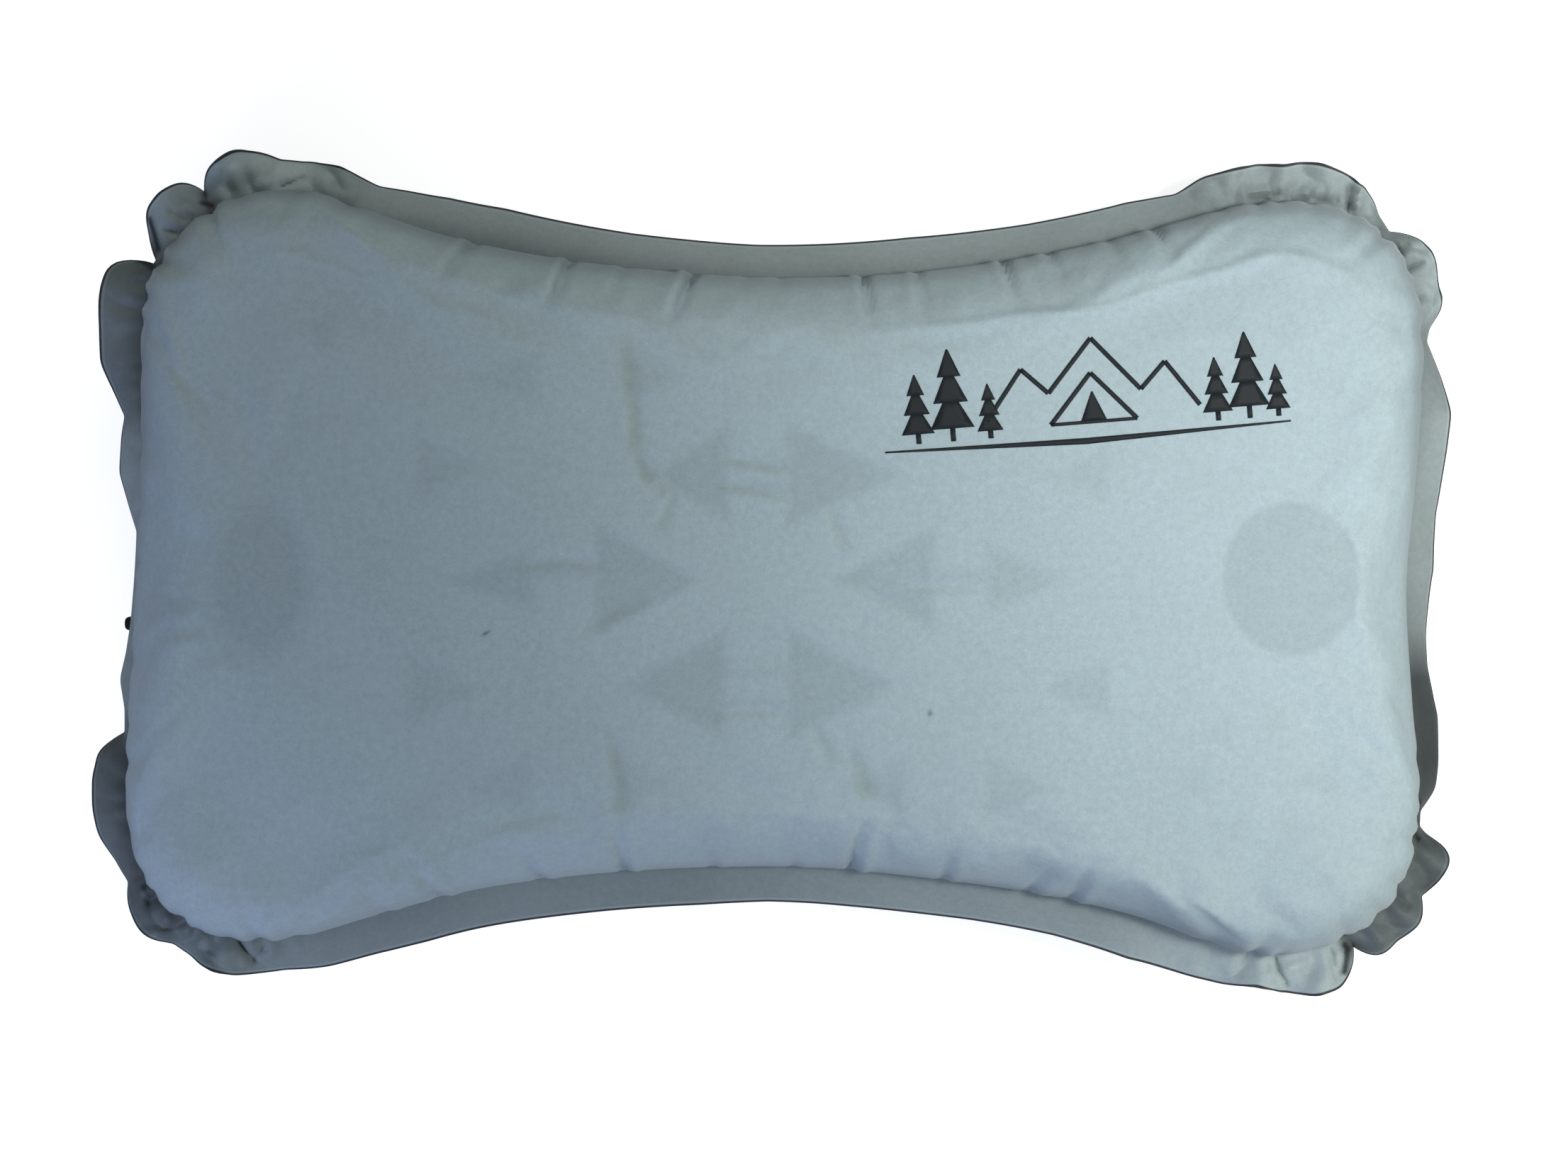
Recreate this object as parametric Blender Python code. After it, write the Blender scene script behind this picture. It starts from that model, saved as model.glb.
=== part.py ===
"""Self-inflating camping pillow, filled with air and lying on its back with its face up.

A front panel and a back panel of coated cloth are welded together all round. The filled
cushion swells between them, and the margin outside the weld stands round it as a ruffled
flange. A small black valve hangs from the flange in the middle of the left end.

Frame: metres, +X along the pillow, +Y across it and +Z up, out of its face. The origin is on
the surface that the pillow rests on, under the middle of its outline.
"""

import math

import bpy
import numpy as np

MM = 0.001

# Heights, in mm
WELD_HEIGHT = 42.0
FACE_RISE = 38.0
CROWN_RISE = 8.0

# How far inside the weld each panel becomes level, in mm, and how square its shoulder is
FACE_SHOULDER = 24.0
BACK_SHOULDER = 50.0
SHOULDER_POWER = 2.1

# Rings of the cushion, as mm inside the weld, and its columns round the weld
FACE_RINGS = (0.5, 2.0, 5.0, 10.0, 16.0, 24.0, 44.0, 72.0)
BACK_RINGS = (0.7, 3.0, 8.0, 16.0, 28.0, 50.0)
CUSHION_COLUMNS = 188

# The narrow hub that the rings step in towards, as shares of the weld's x and y
HUB_LENGTH = 0.5
HUB_WIDTH = 0.04

# The weld in plan, anticlockwise from the middle of the right end, in mm: (x, y)
WELD = (
    (224, -4), (227, 30), (229.5, 65), (229.5, 90), (225, 108), (214, 122),
    (199, 129.5), (183, 131.5), (165, 130), (145, 124.7), (118, 117.5), (80, 110.2),
    (40, 105.6), (0, 104.6), (-40, 107), (-80, 112), (-115, 119.3), (-145, 129.2),
    (-165, 135.3), (-184, 134), (-199, 128), (-211, 117), (-219.5, 104), (-222, 85),
    (-222.3, 50), (-223.5, 10), (-225.5, -25), (-227.5, -65), (-226.5, -92), (-219, -112),
    (-204, -125.3), (-185, -130), (-165, -128.3), (-140, -121.3), (-105, -112.2), (-65, -106.8),
    (-25, -104.3), (15, -104.3), (55, -108), (95, -113.7), (130, -121.8), (155, -130.8),
    (173, -135.2), (190, -133.3), (207, -127), (219, -116), (226, -100), (228.5, -78),
    (226, -45),
)

# The flange, in mm: (place along the weld, reach of its edge, rise of its edge)
FLANGE = (
    # right end, upper half
    (6, 9.7, -8), (26, 8.8, -11), (48, 10.4, -6), (61, 10.9, -3), (73, 7.3, -12),
    (86, 2, -15), (92, 3.2, -13),
    # top right corner
    (99, 8.2, 4), (106, 8, -7), (114, 10, 3), (120, 7, -8), (126, 2, -14), (134, 4.2, -12),
    (140, 8.5, 5), (147, 11.8, -1), (156, 13.5, 6), (161, 13.5, -3), (166, 12.1, 7),
    (174, 13.3, -4), (182, 12.6, 4), (191, 12.4, -6), (202, 9.2, -11),
    # top side
    (220, 11, -8), (257, 11, -8), (300, 12, -7), (355, 11, -8), (400, 11.8, -7),
    (447, 13.8, -5), (468, 12.9, -6), (483, 10.8, -9), (494, 8.8, -11),
    # top left corner
    (508, 11, 4), (520, 9.7, -9), (527, 10.4, -8), (532, 13.2, 2), (539, 16, 4), (546, 13.4, 7),
    (550, 6.5, -10), (553, 5, -13), (557, 14, -2), (562, 15.6, 3), (567, 14.8, -1),
    (573, 8, -12), (578, 1.4, -15), (583, 1.8, -15), (587, 15.6, -4), (593, 16.3, -1),
    # left end
    (605, 15.4, -5), (615, 14.8, -6), (625, 10.4, -11), (634, 6.6, -14), (641, 7.6, -11),
    (654, 8.3, -13), (666, 4.6, -14), (675, 1.6, -15), (690, 1.8, -15), (708, 2.2, -15),
    (719, 3.2, -15), (728, 4.6, -14), (738, 2.4, -15), (748, 1.8, -15), (755, 11, -9),
    (763, 12.5, -7), (772, 12.5, -7), (780, 11.4, -8), (789, 7.8, -11), (798, 6, -13),
    # bottom left corner
    (804, 9.8, -7), (812, 12.6, 1), (820, 8.6, -11), (827, 9.3, -9), (833, 12, 5),
    (839, 12.6, -2), (847, 11.2, -9),
    # bottom side
    (855, 10.5, -8), (870, 12.2, -6), (905, 13.4, -5), (946, 13.2, -5), (1005, 12.8, -6),
    (1030, 12, -7), (1060, 12.5, -6), (1103, 12.4, -6), (1134, 13, -5), (1163, 15, -3),
    (1180, 13.6, -6), (1198, 12.4, -8),
    # bottom right corner
    (1207, 10.7, 6), (1217, 13.4, -4), (1224, 16.1, 5), (1231, 15.6, 1), (1235, 11, -8),
    (1239, 2.4, -14), (1242, 4, -12), (1246, 11.3, 5), (1252, 10.6, -6), (1259, 12.7, 4),
    (1266, 8, -12), (1273, 12, -1), (1279, 13.8, 4), (1283, 5, -12), (1287, 1.6, -15),
    (1294, 1.6, -15),
    # right end, lower half
    (1302, 6.5, -12), (1310, 7.8, -11), (1326, 9, -9), (1344, 6.8, -12), (1355, 7, -12),
)
FLANGE_THICKNESS = 1.2
FLANGE_GAP = 0.45
FLANGE_LEAST_REACH = 0.4

# Rows across the flange as shares of its width, the longest step along it, the power with
# which it bends out of the level, and how far a ruffle is softened along it
FLANGE_ROWS = (0.0, 0.45, 1.0)
FLANGE_STEP = 12.0
FLANGE_BEND = 1.3
RUFFLE_SOFTNESS = 2.5

# Creases that the weld pulls into the face: (place along the weld, depth, half width), in mm
CREASES = (
    (222, 2.6, 7), (244, 2.4, 6), (292, 2.6, 6), (312, 3.0, 7), (378, 3.6, 8),
    (424, 3.0, 7), (460, 3.0, 8), (938, 3.0, 7), (978, 3.2, 7), (1068, 3.8, 8),
    (1130, 2.6, 7), (1146, 2.4, 6),
)
CREASE_LENGTH = 24.0
CREASE_ONSET = 8.0

# The weld droops where the valve hangs from the flange
VALVE_PLACE = 708.0
DROOP = 3.0
DROOP_HALF_LENGTH = 45.0

# The cushion's side draws in behind the valve: depth, half length, mm under the weld, half height
HOLLOW = 4.5
HOLLOW_HALF_LENGTH = 18.0
HOLLOW_CENTRE = 16.0
HOLLOW_HALF_HEIGHT = 13.0

# The valve, in mm: (place along its axis, radius, share of the grip tab)
VALVE_PROFILE = (
    (0.0, 2.9, 0), (0.0, 3.3, 0), (1.8, 3.3, 0), (2.0, 4.7, 0), (2.3, 5.0, 1), (4.1, 5.0, 1),
    (4.5, 4.7, 0), (8.6, 4.2, 0), (10.2, 3.6, 0), (10.8, 2.6, 0),
)
VALVE_SEGMENTS = 40
VALVE_TILT = math.radians(25)
VALVE_BELOW_WELD = 18.0
VALVE_INSIDE_WELD = 0.8
TAB_REACH = 3.2
TAB_HALF_ANGLE = 0.42


def closed_curve(points, per_span=40):
    """A smooth closed curve through the points: a centripetal Catmull-Rom spline, where each
    span is a cubic whose end slopes come from the points on both sides."""
    here = np.array(points, dtype=float)
    before = np.roll(here, 1, axis=0)
    after = np.roll(here, -1, axis=0)
    beyond = np.roll(here, -2, axis=0)

    def root_length(a, b):
        return np.sqrt(np.linalg.norm(b - a, axis=1))[:, None]

    k0 = root_length(before, here)
    k1 = root_length(here, after)
    k2 = root_length(after, beyond)
    leave = k1 * ((here - before) / k0 - (after - before) / (k0 + k1) + (after - here) / k1)
    arrive = k1 * ((after - here) / k1 - (beyond - here) / (k1 + k2) + (beyond - after) / k2)
    t = np.linspace(0, 1, per_span, endpoint=False)[None, :, None]
    curve = (
        (2 * t**3 - 3 * t**2 + 1) * here[:, None]
        + (t**3 - 2 * t**2 + t) * leave[:, None]
        + (3 * t**2 - 2 * t**3) * after[:, None]
        + (t**3 - t**2) * arrive[:, None]
    )
    return curve.reshape(-1, here.shape[1])


class Weld:
    """The line where the two panels are welded, read by the distance along it in mm."""

    def __init__(self):
        self.curve = closed_curve(WELD)
        steps = np.linalg.norm(np.roll(self.curve, -1, axis=0) - self.curve, axis=1)
        self.length = steps.sum()
        self.places = np.concatenate([[0.0], np.cumsum(steps)[:-1]])
        along = np.roll(self.curve, -1, axis=0) - np.roll(self.curve, 1, axis=0)
        along /= np.linalg.norm(along, axis=1)[:, None]
        self.outward = np.stack([along[:, 1], -along[:, 0]], axis=1)

    def read(self, places, values):
        """The values of the dense curve at the places."""
        columns = [np.interp(places, self.places, v, period=self.length) for v in values.T]
        return np.stack(columns, axis=-1)

    def points(self, places):
        return self.read(places, self.curve)

    def normals(self, places):
        normal = self.read(places, self.outward)
        return normal / np.linalg.norm(normal, axis=-1)[..., None]

    def height(self, places):
        away = self.distance(places, VALVE_PLACE)
        return WELD_HEIGHT - DROOP * np.exp(-((away / DROOP_HALF_LENGTH) ** 2))

    def distance(self, places, centre):
        """How far each place is from the centre, round the nearer way."""
        return (places - centre + self.length / 2) % self.length - self.length / 2


def flange_edge(weld, places):
    """Reach and rise of the flange's edge at the places: the table, softened over a few mm."""
    table = np.array(FLANGE, dtype=float)
    shifts = np.linspace(-RUFFLE_SOFTNESS, RUFFLE_SOFTNESS, 7)
    weights = np.exp(-((shifts / RUFFLE_SOFTNESS) ** 2))
    weights /= weights.sum()
    spread = places[:, None] + shifts[None, :]
    reach = np.interp(spread, table[:, 0], table[:, 1], period=weld.length) @ weights
    rise = np.interp(spread, table[:, 0], table[:, 2], period=weld.length) @ weights
    return reach, rise


def swell(inset, shoulder):
    """Share of a panel's full height, from 0 at the weld, where it stands upright, to 1 where
    it becomes level: the square root of 1 - (1 - inset / shoulder) ** power."""
    left = np.clip(1 - inset / shoulder, 0, 1)
    return np.sqrt(1 - left**SHOULDER_POWER)


def middle_of_outline(weld):
    """Middle of the box round the flange's edge in plan, which becomes the origin."""
    places = np.arange(0, weld.length, 1.0)
    reach, _ = flange_edge(weld, places)
    edge = weld.points(places) + weld.normals(places) * reach[:, None]
    return (edge.min(axis=0) + edge.max(axis=0)) / 2


def add_object(name, points, faces, material):
    mesh = bpy.data.meshes.new(name)
    mesh.from_pydata((points * MM).tolist(), [], faces)
    mesh.validate()
    mesh.shade_smooth()
    mesh.set_sharp_from_angle(angle=math.radians(40))
    mesh.materials.append(material)
    thing = bpy.data.objects.new(name, mesh)
    bpy.context.scene.collection.objects.link(thing)
    return thing


def principled(name, colour, roughness, metallic=0.0):
    material = bpy.data.materials.new(name)
    material.use_nodes = True
    shader = material.node_tree.nodes["Principled BSDF"]
    shader.inputs["Base Color"].default_value = (*colour, 1.0)
    shader.inputs["Roughness"].default_value = roughness
    shader.inputs["Metallic"].default_value = metallic
    material.diffuse_color = (*colour, 1.0)
    return material


def ring_faces(rows, columns):
    """Quads between closed rows of points, with the first and last row capped."""
    faces = []
    for row in range(rows - 1):
        for column in range(columns):
            a = row * columns + column
            b = row * columns + (column + 1) % columns
            faces.append((a, b, b + columns, a + columns))
    faces.append(tuple(reversed(range(columns))))
    faces.append(tuple(range((rows - 1) * columns, rows * columns)))
    return faces


def build_cushion(weld, middle):
    """The filled body: rings that step in from the weld towards a long narrow hub, first
    down the back panel to the flat patch that it rests on, then up over the face."""
    places = np.linspace(0, weld.length, CUSHION_COLUMNS, endpoint=False)
    edge = weld.points(places)
    height = weld.height(places)
    hub = edge * (HUB_LENGTH, HUB_WIDTH)
    inward = hub - edge
    room = np.linalg.norm(inward, axis=1)
    inward /= room[:, None]
    valve_side = np.exp(-((weld.distance(places, VALVE_PLACE) / HOLLOW_HALF_LENGTH) ** 2))

    def ring(inset, panel):
        """One ring: (x, y, z) where the panel is inset by so many mm from the weld."""
        step = np.minimum(inset, room)
        if panel == "back":
            z = height * (1 - swell(step, BACK_SHOULDER))
            depth = (height - z - HOLLOW_CENTRE) / HOLLOW_HALF_HEIGHT
            plan = edge + inward * (step + HOLLOW * valve_side * np.exp(-(depth**2)))[:, None]
            return np.column_stack([plan, z])
        plan = edge + inward * step[:, None]
        crown = CROWN_RISE * (step / room) * (2 - step / room)
        z = height + (WELD_HEIGHT + FACE_RISE - height) * swell(step, FACE_SHOULDER) + crown
        for place, depth, half_width in CREASES:
            across = np.exp(-((weld.distance(places, place) / half_width) ** 2))
            z -= depth * across * np.exp(-((step / CREASE_LENGTH) ** 2)) * swell(step, CREASE_ONSET)
        return np.column_stack([plan, z])

    rings = [ring(room, "back")]
    rings += [ring(np.full(len(places), inset), "back") for inset in reversed(BACK_RINGS)]
    rings.append(np.column_stack([edge, height]))
    rings += [ring(np.full(len(places), inset), "face") for inset in FACE_RINGS]
    rings.append(ring(room, "face"))
    points = np.vstack(rings)
    points[:, :2] -= middle
    cloth = principled("cushion_cloth", (0.33, 0.42, 0.47), 0.85)
    return add_object("cushion", points, ring_faces(len(rings), len(places)), cloth)


def flange_places(weld):
    """Columns of the flange: the table's places, with each stretch cut in two or more."""
    stops = [row[0] for row in FLANGE] + [FLANGE[0][0] + weld.length]
    places = []
    for start, end in zip(stops, stops[1:]):
        cuts = max(2, math.ceil((end - start) / FLANGE_STEP))
        places.extend(np.linspace(start, end, cuts, endpoint=False))
    return np.array(places)


def build_flange(weld, middle):
    """The welded margin: a band that leaves the weld level and bends up or down to its edge.
    Across it, the reach grows evenly and the rise with a power of the share of its width."""
    places = flange_places(weld)
    reach, rise = flange_edge(weld, places)
    steepness = np.abs(rise) / np.hypot(rise, reach)
    start = FLANGE_GAP + FLANGE_THICKNESS / 2 * steepness
    edge = weld.points(places)
    normal = weld.normals(places)
    height = weld.height(places)
    rows = []
    for share in FLANGE_ROWS:
        out = start + np.maximum(reach - start, FLANGE_LEAST_REACH) * share
        plan = edge + normal * out[:, None] - middle
        rows.append(np.column_stack([plan, height + rise * share**FLANGE_BEND]))
    columns = len(places)
    faces = []
    for row in range(len(rows) - 1):
        for column in range(columns):
            a = row * columns + column
            b = row * columns + (column + 1) % columns
            faces.append((a, a + columns, b + columns, b))
    cloth = principled("flange_cloth", (0.25, 0.31, 0.33), 0.8)
    flange = add_object("flange", np.vstack(rows), faces, cloth)
    wall = flange.modifiers.new("two panels thick", "SOLIDIFY")
    wall.thickness = FLANGE_THICKNESS * MM
    wall.offset = 0.0
    return flange


def build_valve(weld, middle):
    """The valve: a turned stub, collar and cap with one grip tab on the collar. Its axis
    leaves the flange's edge and leans in under the pillow."""
    angle = np.linspace(0, 2 * math.pi, VALVE_SEGMENTS, endpoint=False)
    turn = (angle + math.pi) % (2 * math.pi) - math.pi
    tab = TAB_REACH * np.exp(-((turn / TAB_HALF_ANGLE) ** 4))
    foot = weld.points(np.array([VALVE_PLACE]))[0] - middle
    out = np.array([-math.cos(VALVE_TILT), 0, -math.sin(VALVE_TILT)])
    side = np.array([0.0, 1.0, 0.0])
    axis = np.array([math.sin(VALVE_TILT), 0, -math.cos(VALVE_TILT)])
    height = weld.height(np.array([VALVE_PLACE]))[0]
    base = np.array([foot[0] + VALVE_INSIDE_WELD, foot[1], height - VALVE_BELOW_WELD])
    rings = []
    for place, radius, on_tab in VALVE_PROFILE:
        reach = (radius + on_tab * tab)[:, None]
        circle = out * np.cos(angle)[:, None] + side * np.sin(angle)[:, None]
        rings.append(base + axis * place + circle * reach)
    plastic = principled("valve_plastic", (0.012, 0.013, 0.014), 0.35)
    faces = ring_faces(len(rings), VALVE_SEGMENTS)
    return add_object("valve", np.vstack(rings), faces, plastic)


def main():
    for thing in list(bpy.data.objects):
        bpy.data.objects.remove(thing, do_unlink=True)
    weld = Weld()
    middle = middle_of_outline(weld)
    build_cushion(weld, middle)
    build_flange(weld, middle)
    build_valve(weld, middle)


main()
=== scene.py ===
import math

import bpy
import numpy as np
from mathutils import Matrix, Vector


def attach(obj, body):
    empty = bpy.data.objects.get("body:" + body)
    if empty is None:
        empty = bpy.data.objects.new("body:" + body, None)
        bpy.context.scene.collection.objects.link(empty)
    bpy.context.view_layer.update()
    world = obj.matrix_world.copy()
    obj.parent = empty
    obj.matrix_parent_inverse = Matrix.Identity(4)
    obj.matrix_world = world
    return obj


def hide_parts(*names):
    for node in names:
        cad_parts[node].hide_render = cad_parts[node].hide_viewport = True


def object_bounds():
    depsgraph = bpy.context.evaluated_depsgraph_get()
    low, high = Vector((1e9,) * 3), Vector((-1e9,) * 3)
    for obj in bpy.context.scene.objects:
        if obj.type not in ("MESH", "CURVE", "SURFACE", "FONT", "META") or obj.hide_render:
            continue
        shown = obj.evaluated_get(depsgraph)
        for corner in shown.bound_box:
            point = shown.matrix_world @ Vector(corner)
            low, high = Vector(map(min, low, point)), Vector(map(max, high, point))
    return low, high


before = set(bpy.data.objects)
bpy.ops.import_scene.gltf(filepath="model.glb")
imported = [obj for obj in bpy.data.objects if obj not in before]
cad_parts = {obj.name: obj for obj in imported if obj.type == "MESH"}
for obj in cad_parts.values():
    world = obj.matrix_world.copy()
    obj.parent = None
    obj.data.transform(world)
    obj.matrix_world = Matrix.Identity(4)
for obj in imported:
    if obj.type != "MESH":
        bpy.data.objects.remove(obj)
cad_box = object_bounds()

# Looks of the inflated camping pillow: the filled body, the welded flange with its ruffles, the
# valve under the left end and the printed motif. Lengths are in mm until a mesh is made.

MM = 0.001
ROOT = "root"

# ---------------------------------------------------------------- sizes, in mm

WELD_HEIGHT = 42.0
FACE_TOP = cad_box[1][2] / MM
CROWN_RISE = 8.0
FACE_SHOULDER = 22.0
BACK_SHOULDER = 50.0
# The face's shoulder is wider round the top right corner: place along the weld, extra width and
# half length
WIDE_SHOULDER = (190.0, 13.0, 110.0)
SHOULDER_POWER = 2.1
# Half the length of the line along the middle, where the columns of the body end
HUB_LENGTH = 120.0

# The valve's place along the weld, the droop of the weld there, and the hollow in the back panel
# beside the valve, at a depth below the weld
VALVE_PLACE = 708.0
DROOP = 3.0
DROOP_HALF_LENGTH = 45.0
HOLLOW = 4.5
HOLLOW_HALF_LENGTH = 18.0
HOLLOW_CENTRE = 16.0
HOLLOW_HALF_HEIGHT = 13.0

# The body's net: columns round the weld, and rings over the face and over the back
BODY_COLUMNS = 376
FACE_RINGS = 50
BACK_RINGS = 12
FACE_CROWDING = 1.18
BACK_CROWDING = 1.4

# The weld in plan, anticlockwise from the middle of the right end: (x, y)
WELD = (
    (224, -4), (227, 30), (229.5, 65), (229.5, 90), (225, 108), (214, 122),
    (199, 129.5), (183, 131.5), (165, 130), (145, 124.7), (118, 117.5), (80, 110.2),
    (40, 105.6), (0, 104.6), (-40, 107), (-80, 112), (-115, 119.3), (-145, 129.2),
    (-165, 135.3), (-184, 134), (-199, 128), (-211, 117), (-219.5, 104), (-222, 85),
    (-222.3, 50), (-223.5, 10), (-225.5, -25), (-227.5, -65), (-226.5, -92), (-219, -112),
    (-204, -125.3), (-185, -130), (-165, -128.3), (-140, -121.3), (-105, -112.2), (-65, -106.8),
    (-25, -104.3), (15, -104.3), (55, -108), (95, -113.7), (130, -121.8), (155, -130.8),
    (173, -135.2), (190, -133.3), (207, -127), (219, -116), (226, -100), (228.5, -78),
    (226, -45),
)

# The flange: (place along the weld, reach of its edge, rise of its edge)
FLANGE = (
    # right end, upper half
    (6, 9.7, -8), (26, 8.8, -11), (48, 10.4, -6), (61, 10.9, -3), (73, 7.3, -12),
    (86, 2, -15), (92, 3.2, -13),
    # top right corner
    (99, 8.2, 4), (106, 8, -7), (114, 10, 3), (120, 7, -8), (126, 2, -14), (134, 4.2, -12),
    (140, 8.5, 5), (147, 11.8, -1), (156, 13.5, 6), (161, 13.5, -3), (166, 12.1, 7),
    (174, 13.3, -4), (182, 12.6, 4), (191, 12.4, -6), (202, 9.2, -11),
    # top side
    (220, 11, -8), (257, 11, -8), (300, 12, -7), (355, 11, -8), (400, 11.8, -7),
    (447, 13.8, -5), (468, 12.9, -6), (483, 10.8, -9), (494, 8.8, -11),
    # top left corner
    (508, 11, 4), (520, 9.7, -9), (527, 10.4, -8), (532, 13.2, 2), (539, 16, 4), (546, 13.4, 7),
    (550, 6.5, -10), (553, 5, -13), (557, 14, -2), (562, 15.6, 3), (567, 14.8, -1),
    (573, 8, -12), (578, 1.4, -15), (583, 1.8, -15), (587, 15.6, -4), (593, 16.3, -1),
    # left end
    (605, 15.4, -5), (615, 14.8, -6), (625, 10.4, -11), (634, 6.6, -14), (641, 7.6, -11),
    (654, 8.3, -13), (666, 4.6, -14), (675, 1.6, -15), (690, 1.8, -15), (708, 2.2, -15),
    (719, 3.2, -15), (728, 4.6, -14), (738, 2.4, -15), (748, 1.8, -15), (755, 11, -9),
    (763, 12.5, -7), (772, 12.5, -7), (780, 11.4, -8), (789, 7.8, -11), (798, 6, -13),
    # bottom left corner
    (804, 9.8, -7), (812, 12.6, 1), (820, 8.6, -11), (827, 9.3, -9), (833, 12, 5),
    (839, 12.6, -2), (847, 11.2, -9),
    # bottom side
    (855, 10.5, -8), (870, 12.2, -6), (905, 13.4, -5), (946, 13.2, -5), (1005, 12.8, -6),
    (1030, 12, -7), (1060, 12.5, -6), (1103, 12.4, -6), (1134, 13, -5), (1163, 15, -3),
    (1180, 13.6, -6), (1198, 12.4, -8),
    # bottom right corner
    (1207, 10.7, 6), (1217, 13.4, -4), (1224, 16.1, 5), (1231, 15.6, 1), (1235, 11, -8),
    (1239, 2.4, -14), (1242, 4, -12), (1246, 11.3, 5), (1252, 10.6, -6), (1259, 12.7, 4),
    (1266, 8, -12), (1273, 12, -1), (1279, 13.8, 4), (1283, 5, -12), (1287, 1.6, -15),
    (1294, 1.6, -15),
    # right end, lower half
    (1302, 6.5, -12), (1310, 7.8, -11), (1326, 9, -9), (1344, 6.8, -12), (1355, 7, -12),
)
FLANGE_THICKNESS = 1.1
# How far inside the weld the flange starts, and the least that it reaches beyond it
FLANGE_TUCK = 2.0
FLANGE_LEAST_REACH = 0.8
FLANGE_COLUMNS = 2000
FLANGE_ROWS = 15
FLANGE_BEND = 1.3
REACH_SOFTNESS = 1.6
RISE_SOFTNESS = 4.0

# Creases pulled into the face from the weld: (outer x, y, inner x, y, depth, half width)
CREASES = (
    # along the top
    (-103.6, 117, -118.1, 96.9, 1.9, 1.7), (-70.1, 110.5, -78.9, 87, 2.6, 1.5),
    (-27, 106, -35.6, 84.5, 3.6, 1.5), (32, 106, 35.3, 84.5, 3, 1.3),
    (51.1, 106.5, 54.5, 87, 1.5, 1.4), (81, 111, 87.5, 89, 2.6, 1.4), (97, 114, 104, 95, 1.5, 1.7),
    (118, 118, 124.5, 103, 1, 1.8), (134, 122, 143.5, 103, 1.7, 1.7),
    (-51, 108, -56.5, 92, 0.9, 1.6), (3, 105, 4, 92, 0.6, 1.8), (-8, 105, -12, 94, 0.5, 1.8),
    # along the bottom
    (-78.5, -110, -92, -94, 1.4, 1.7), (-50.6, -106.5, -56, -82.5, 1.8, 1.6),
    (28.2, -106.5, 33, -80, 2.7, 1.6), (60.5, -109, 63.5, -92, 1.1, 1.6),
    (89, -114, 100, -100, 1.4, 1.7), (104.5, -117, 113, -97, 1.5, 1.7),
    (-114, -117, -127.5, -96, 1.5, 1.8), (-134, -121, -143, -107, 1, 1.8),
    (-20, -105, -23, -93, 0.7, 1.8), (8, -105, 9, -94, 0.6, 1.8),
)

# Gathers where the weld draws the cloth in: (place along the weld, depth, half width, length,
# lean of the gather for each mm inwards)
GATHERS = (
    # right end, upper half, and top right corner
    (70, 0.5, 3, 12, -0.2), (88, 1, 3.4, 18, 0.2), (104, 0.8, 2.4, 12, 0.4), (112, 1, 2, 9, 0),
    (127, 1.7, 2.2, 18, 0.3), (133, 0.7, 1.8, 9, 0.2), (142, 0.9, 1.9, 11, -0.1),
    (151, 0.4, 1.7, 6, 0), (157, 0.9, 2.1, 9, -0.2), (169, 0.6, 1.7, 7, -0.2),
    (176, 0.8, 2, 9, -0.1), (190, 0.4, 2.4, 9, -0.3),
    # top left corner
    (500, 0.7, 3.4, 18, 0.8), (519, 1, 2.6, 15, 0.5), (526, 0.5, 1.8, 8, 0.1),
    (541, 0.5, 2.4, 9, 0), (552, 2, 2.2, 17, 0.2), (556, 0.8, 1.6, 9, -0.2), (569, 0.5, 2, 8, 0),
    (579, 1.7, 2.6, 15, -0.2), (585, 1, 1.8, 10, 0.1), (593, 1.3, 2.4, 10, 0.1),
    (602, 0.6, 2.2, 7, 0), (618, 0.4, 3, 9, 0),
    # left end
    (646, 0.5, 3.6, 12, 0.1), (668, 0.5, 3, 12, -0.3), (686, 0.8, 2.8, 18, 0.5),
    (694, 0.4, 2.2, 10, 0.3), (722, 0.7, 3, 16, -0.4), (744, 0.5, 3, 12, -0.1),
    (757, 0.8, 2.4, 9, 0), (781, 0.4, 2.8, 9, 0.1), (797, 0.8, 2.8, 12, 0.2),
    # bottom left corner
    (805, 1, 2.1, 9, 0), (819, 1.4, 2.4, 15, 0.1), (826, 0.7, 1.7, 8, 0), (838, 0.5, 2, 8, 0),
    (849, 1.3, 2.4, 15, -0.2), (862, 0.6, 3, 15, -0.6),
    # bottom right corner
    (1188, 0.5, 3, 12, 0.5), (1204, 1.3, 2.3, 16, 0.4), (1213, 0.5, 2, 8, 0.2),
    (1238, 1.6, 2.2, 11, 0), (1243, 0.8, 1.7, 8, 0.1), (1253, 1.1, 2.3, 10, 0),
    (1266, 1.5, 2, 10, -0.1), (1271, 0.5, 1.6, 7, 0), (1284, 1.6, 2.4, 12, -0.1),
    (1291, 0.9, 2, 8, 0), (1299, 0.4, 2, 7, 0), (1312, 0.5, 2.6, 8, 0),
)
GATHER_RIDGE = 0.3
# Shares of its length between which a gather fades
GATHER_FADE = (0.2, 1.3)
# A low ridge along the shoulder: (first and last place along the weld, inset, height)
SHOULDER_RIDGES = ((96, 330, 23, 1.3), (430, 560, 26, 0.35), (860, 1190, 21, 0.35))
SHOULDER_RIDGE_HALF_WIDTH = 2.2

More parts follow.
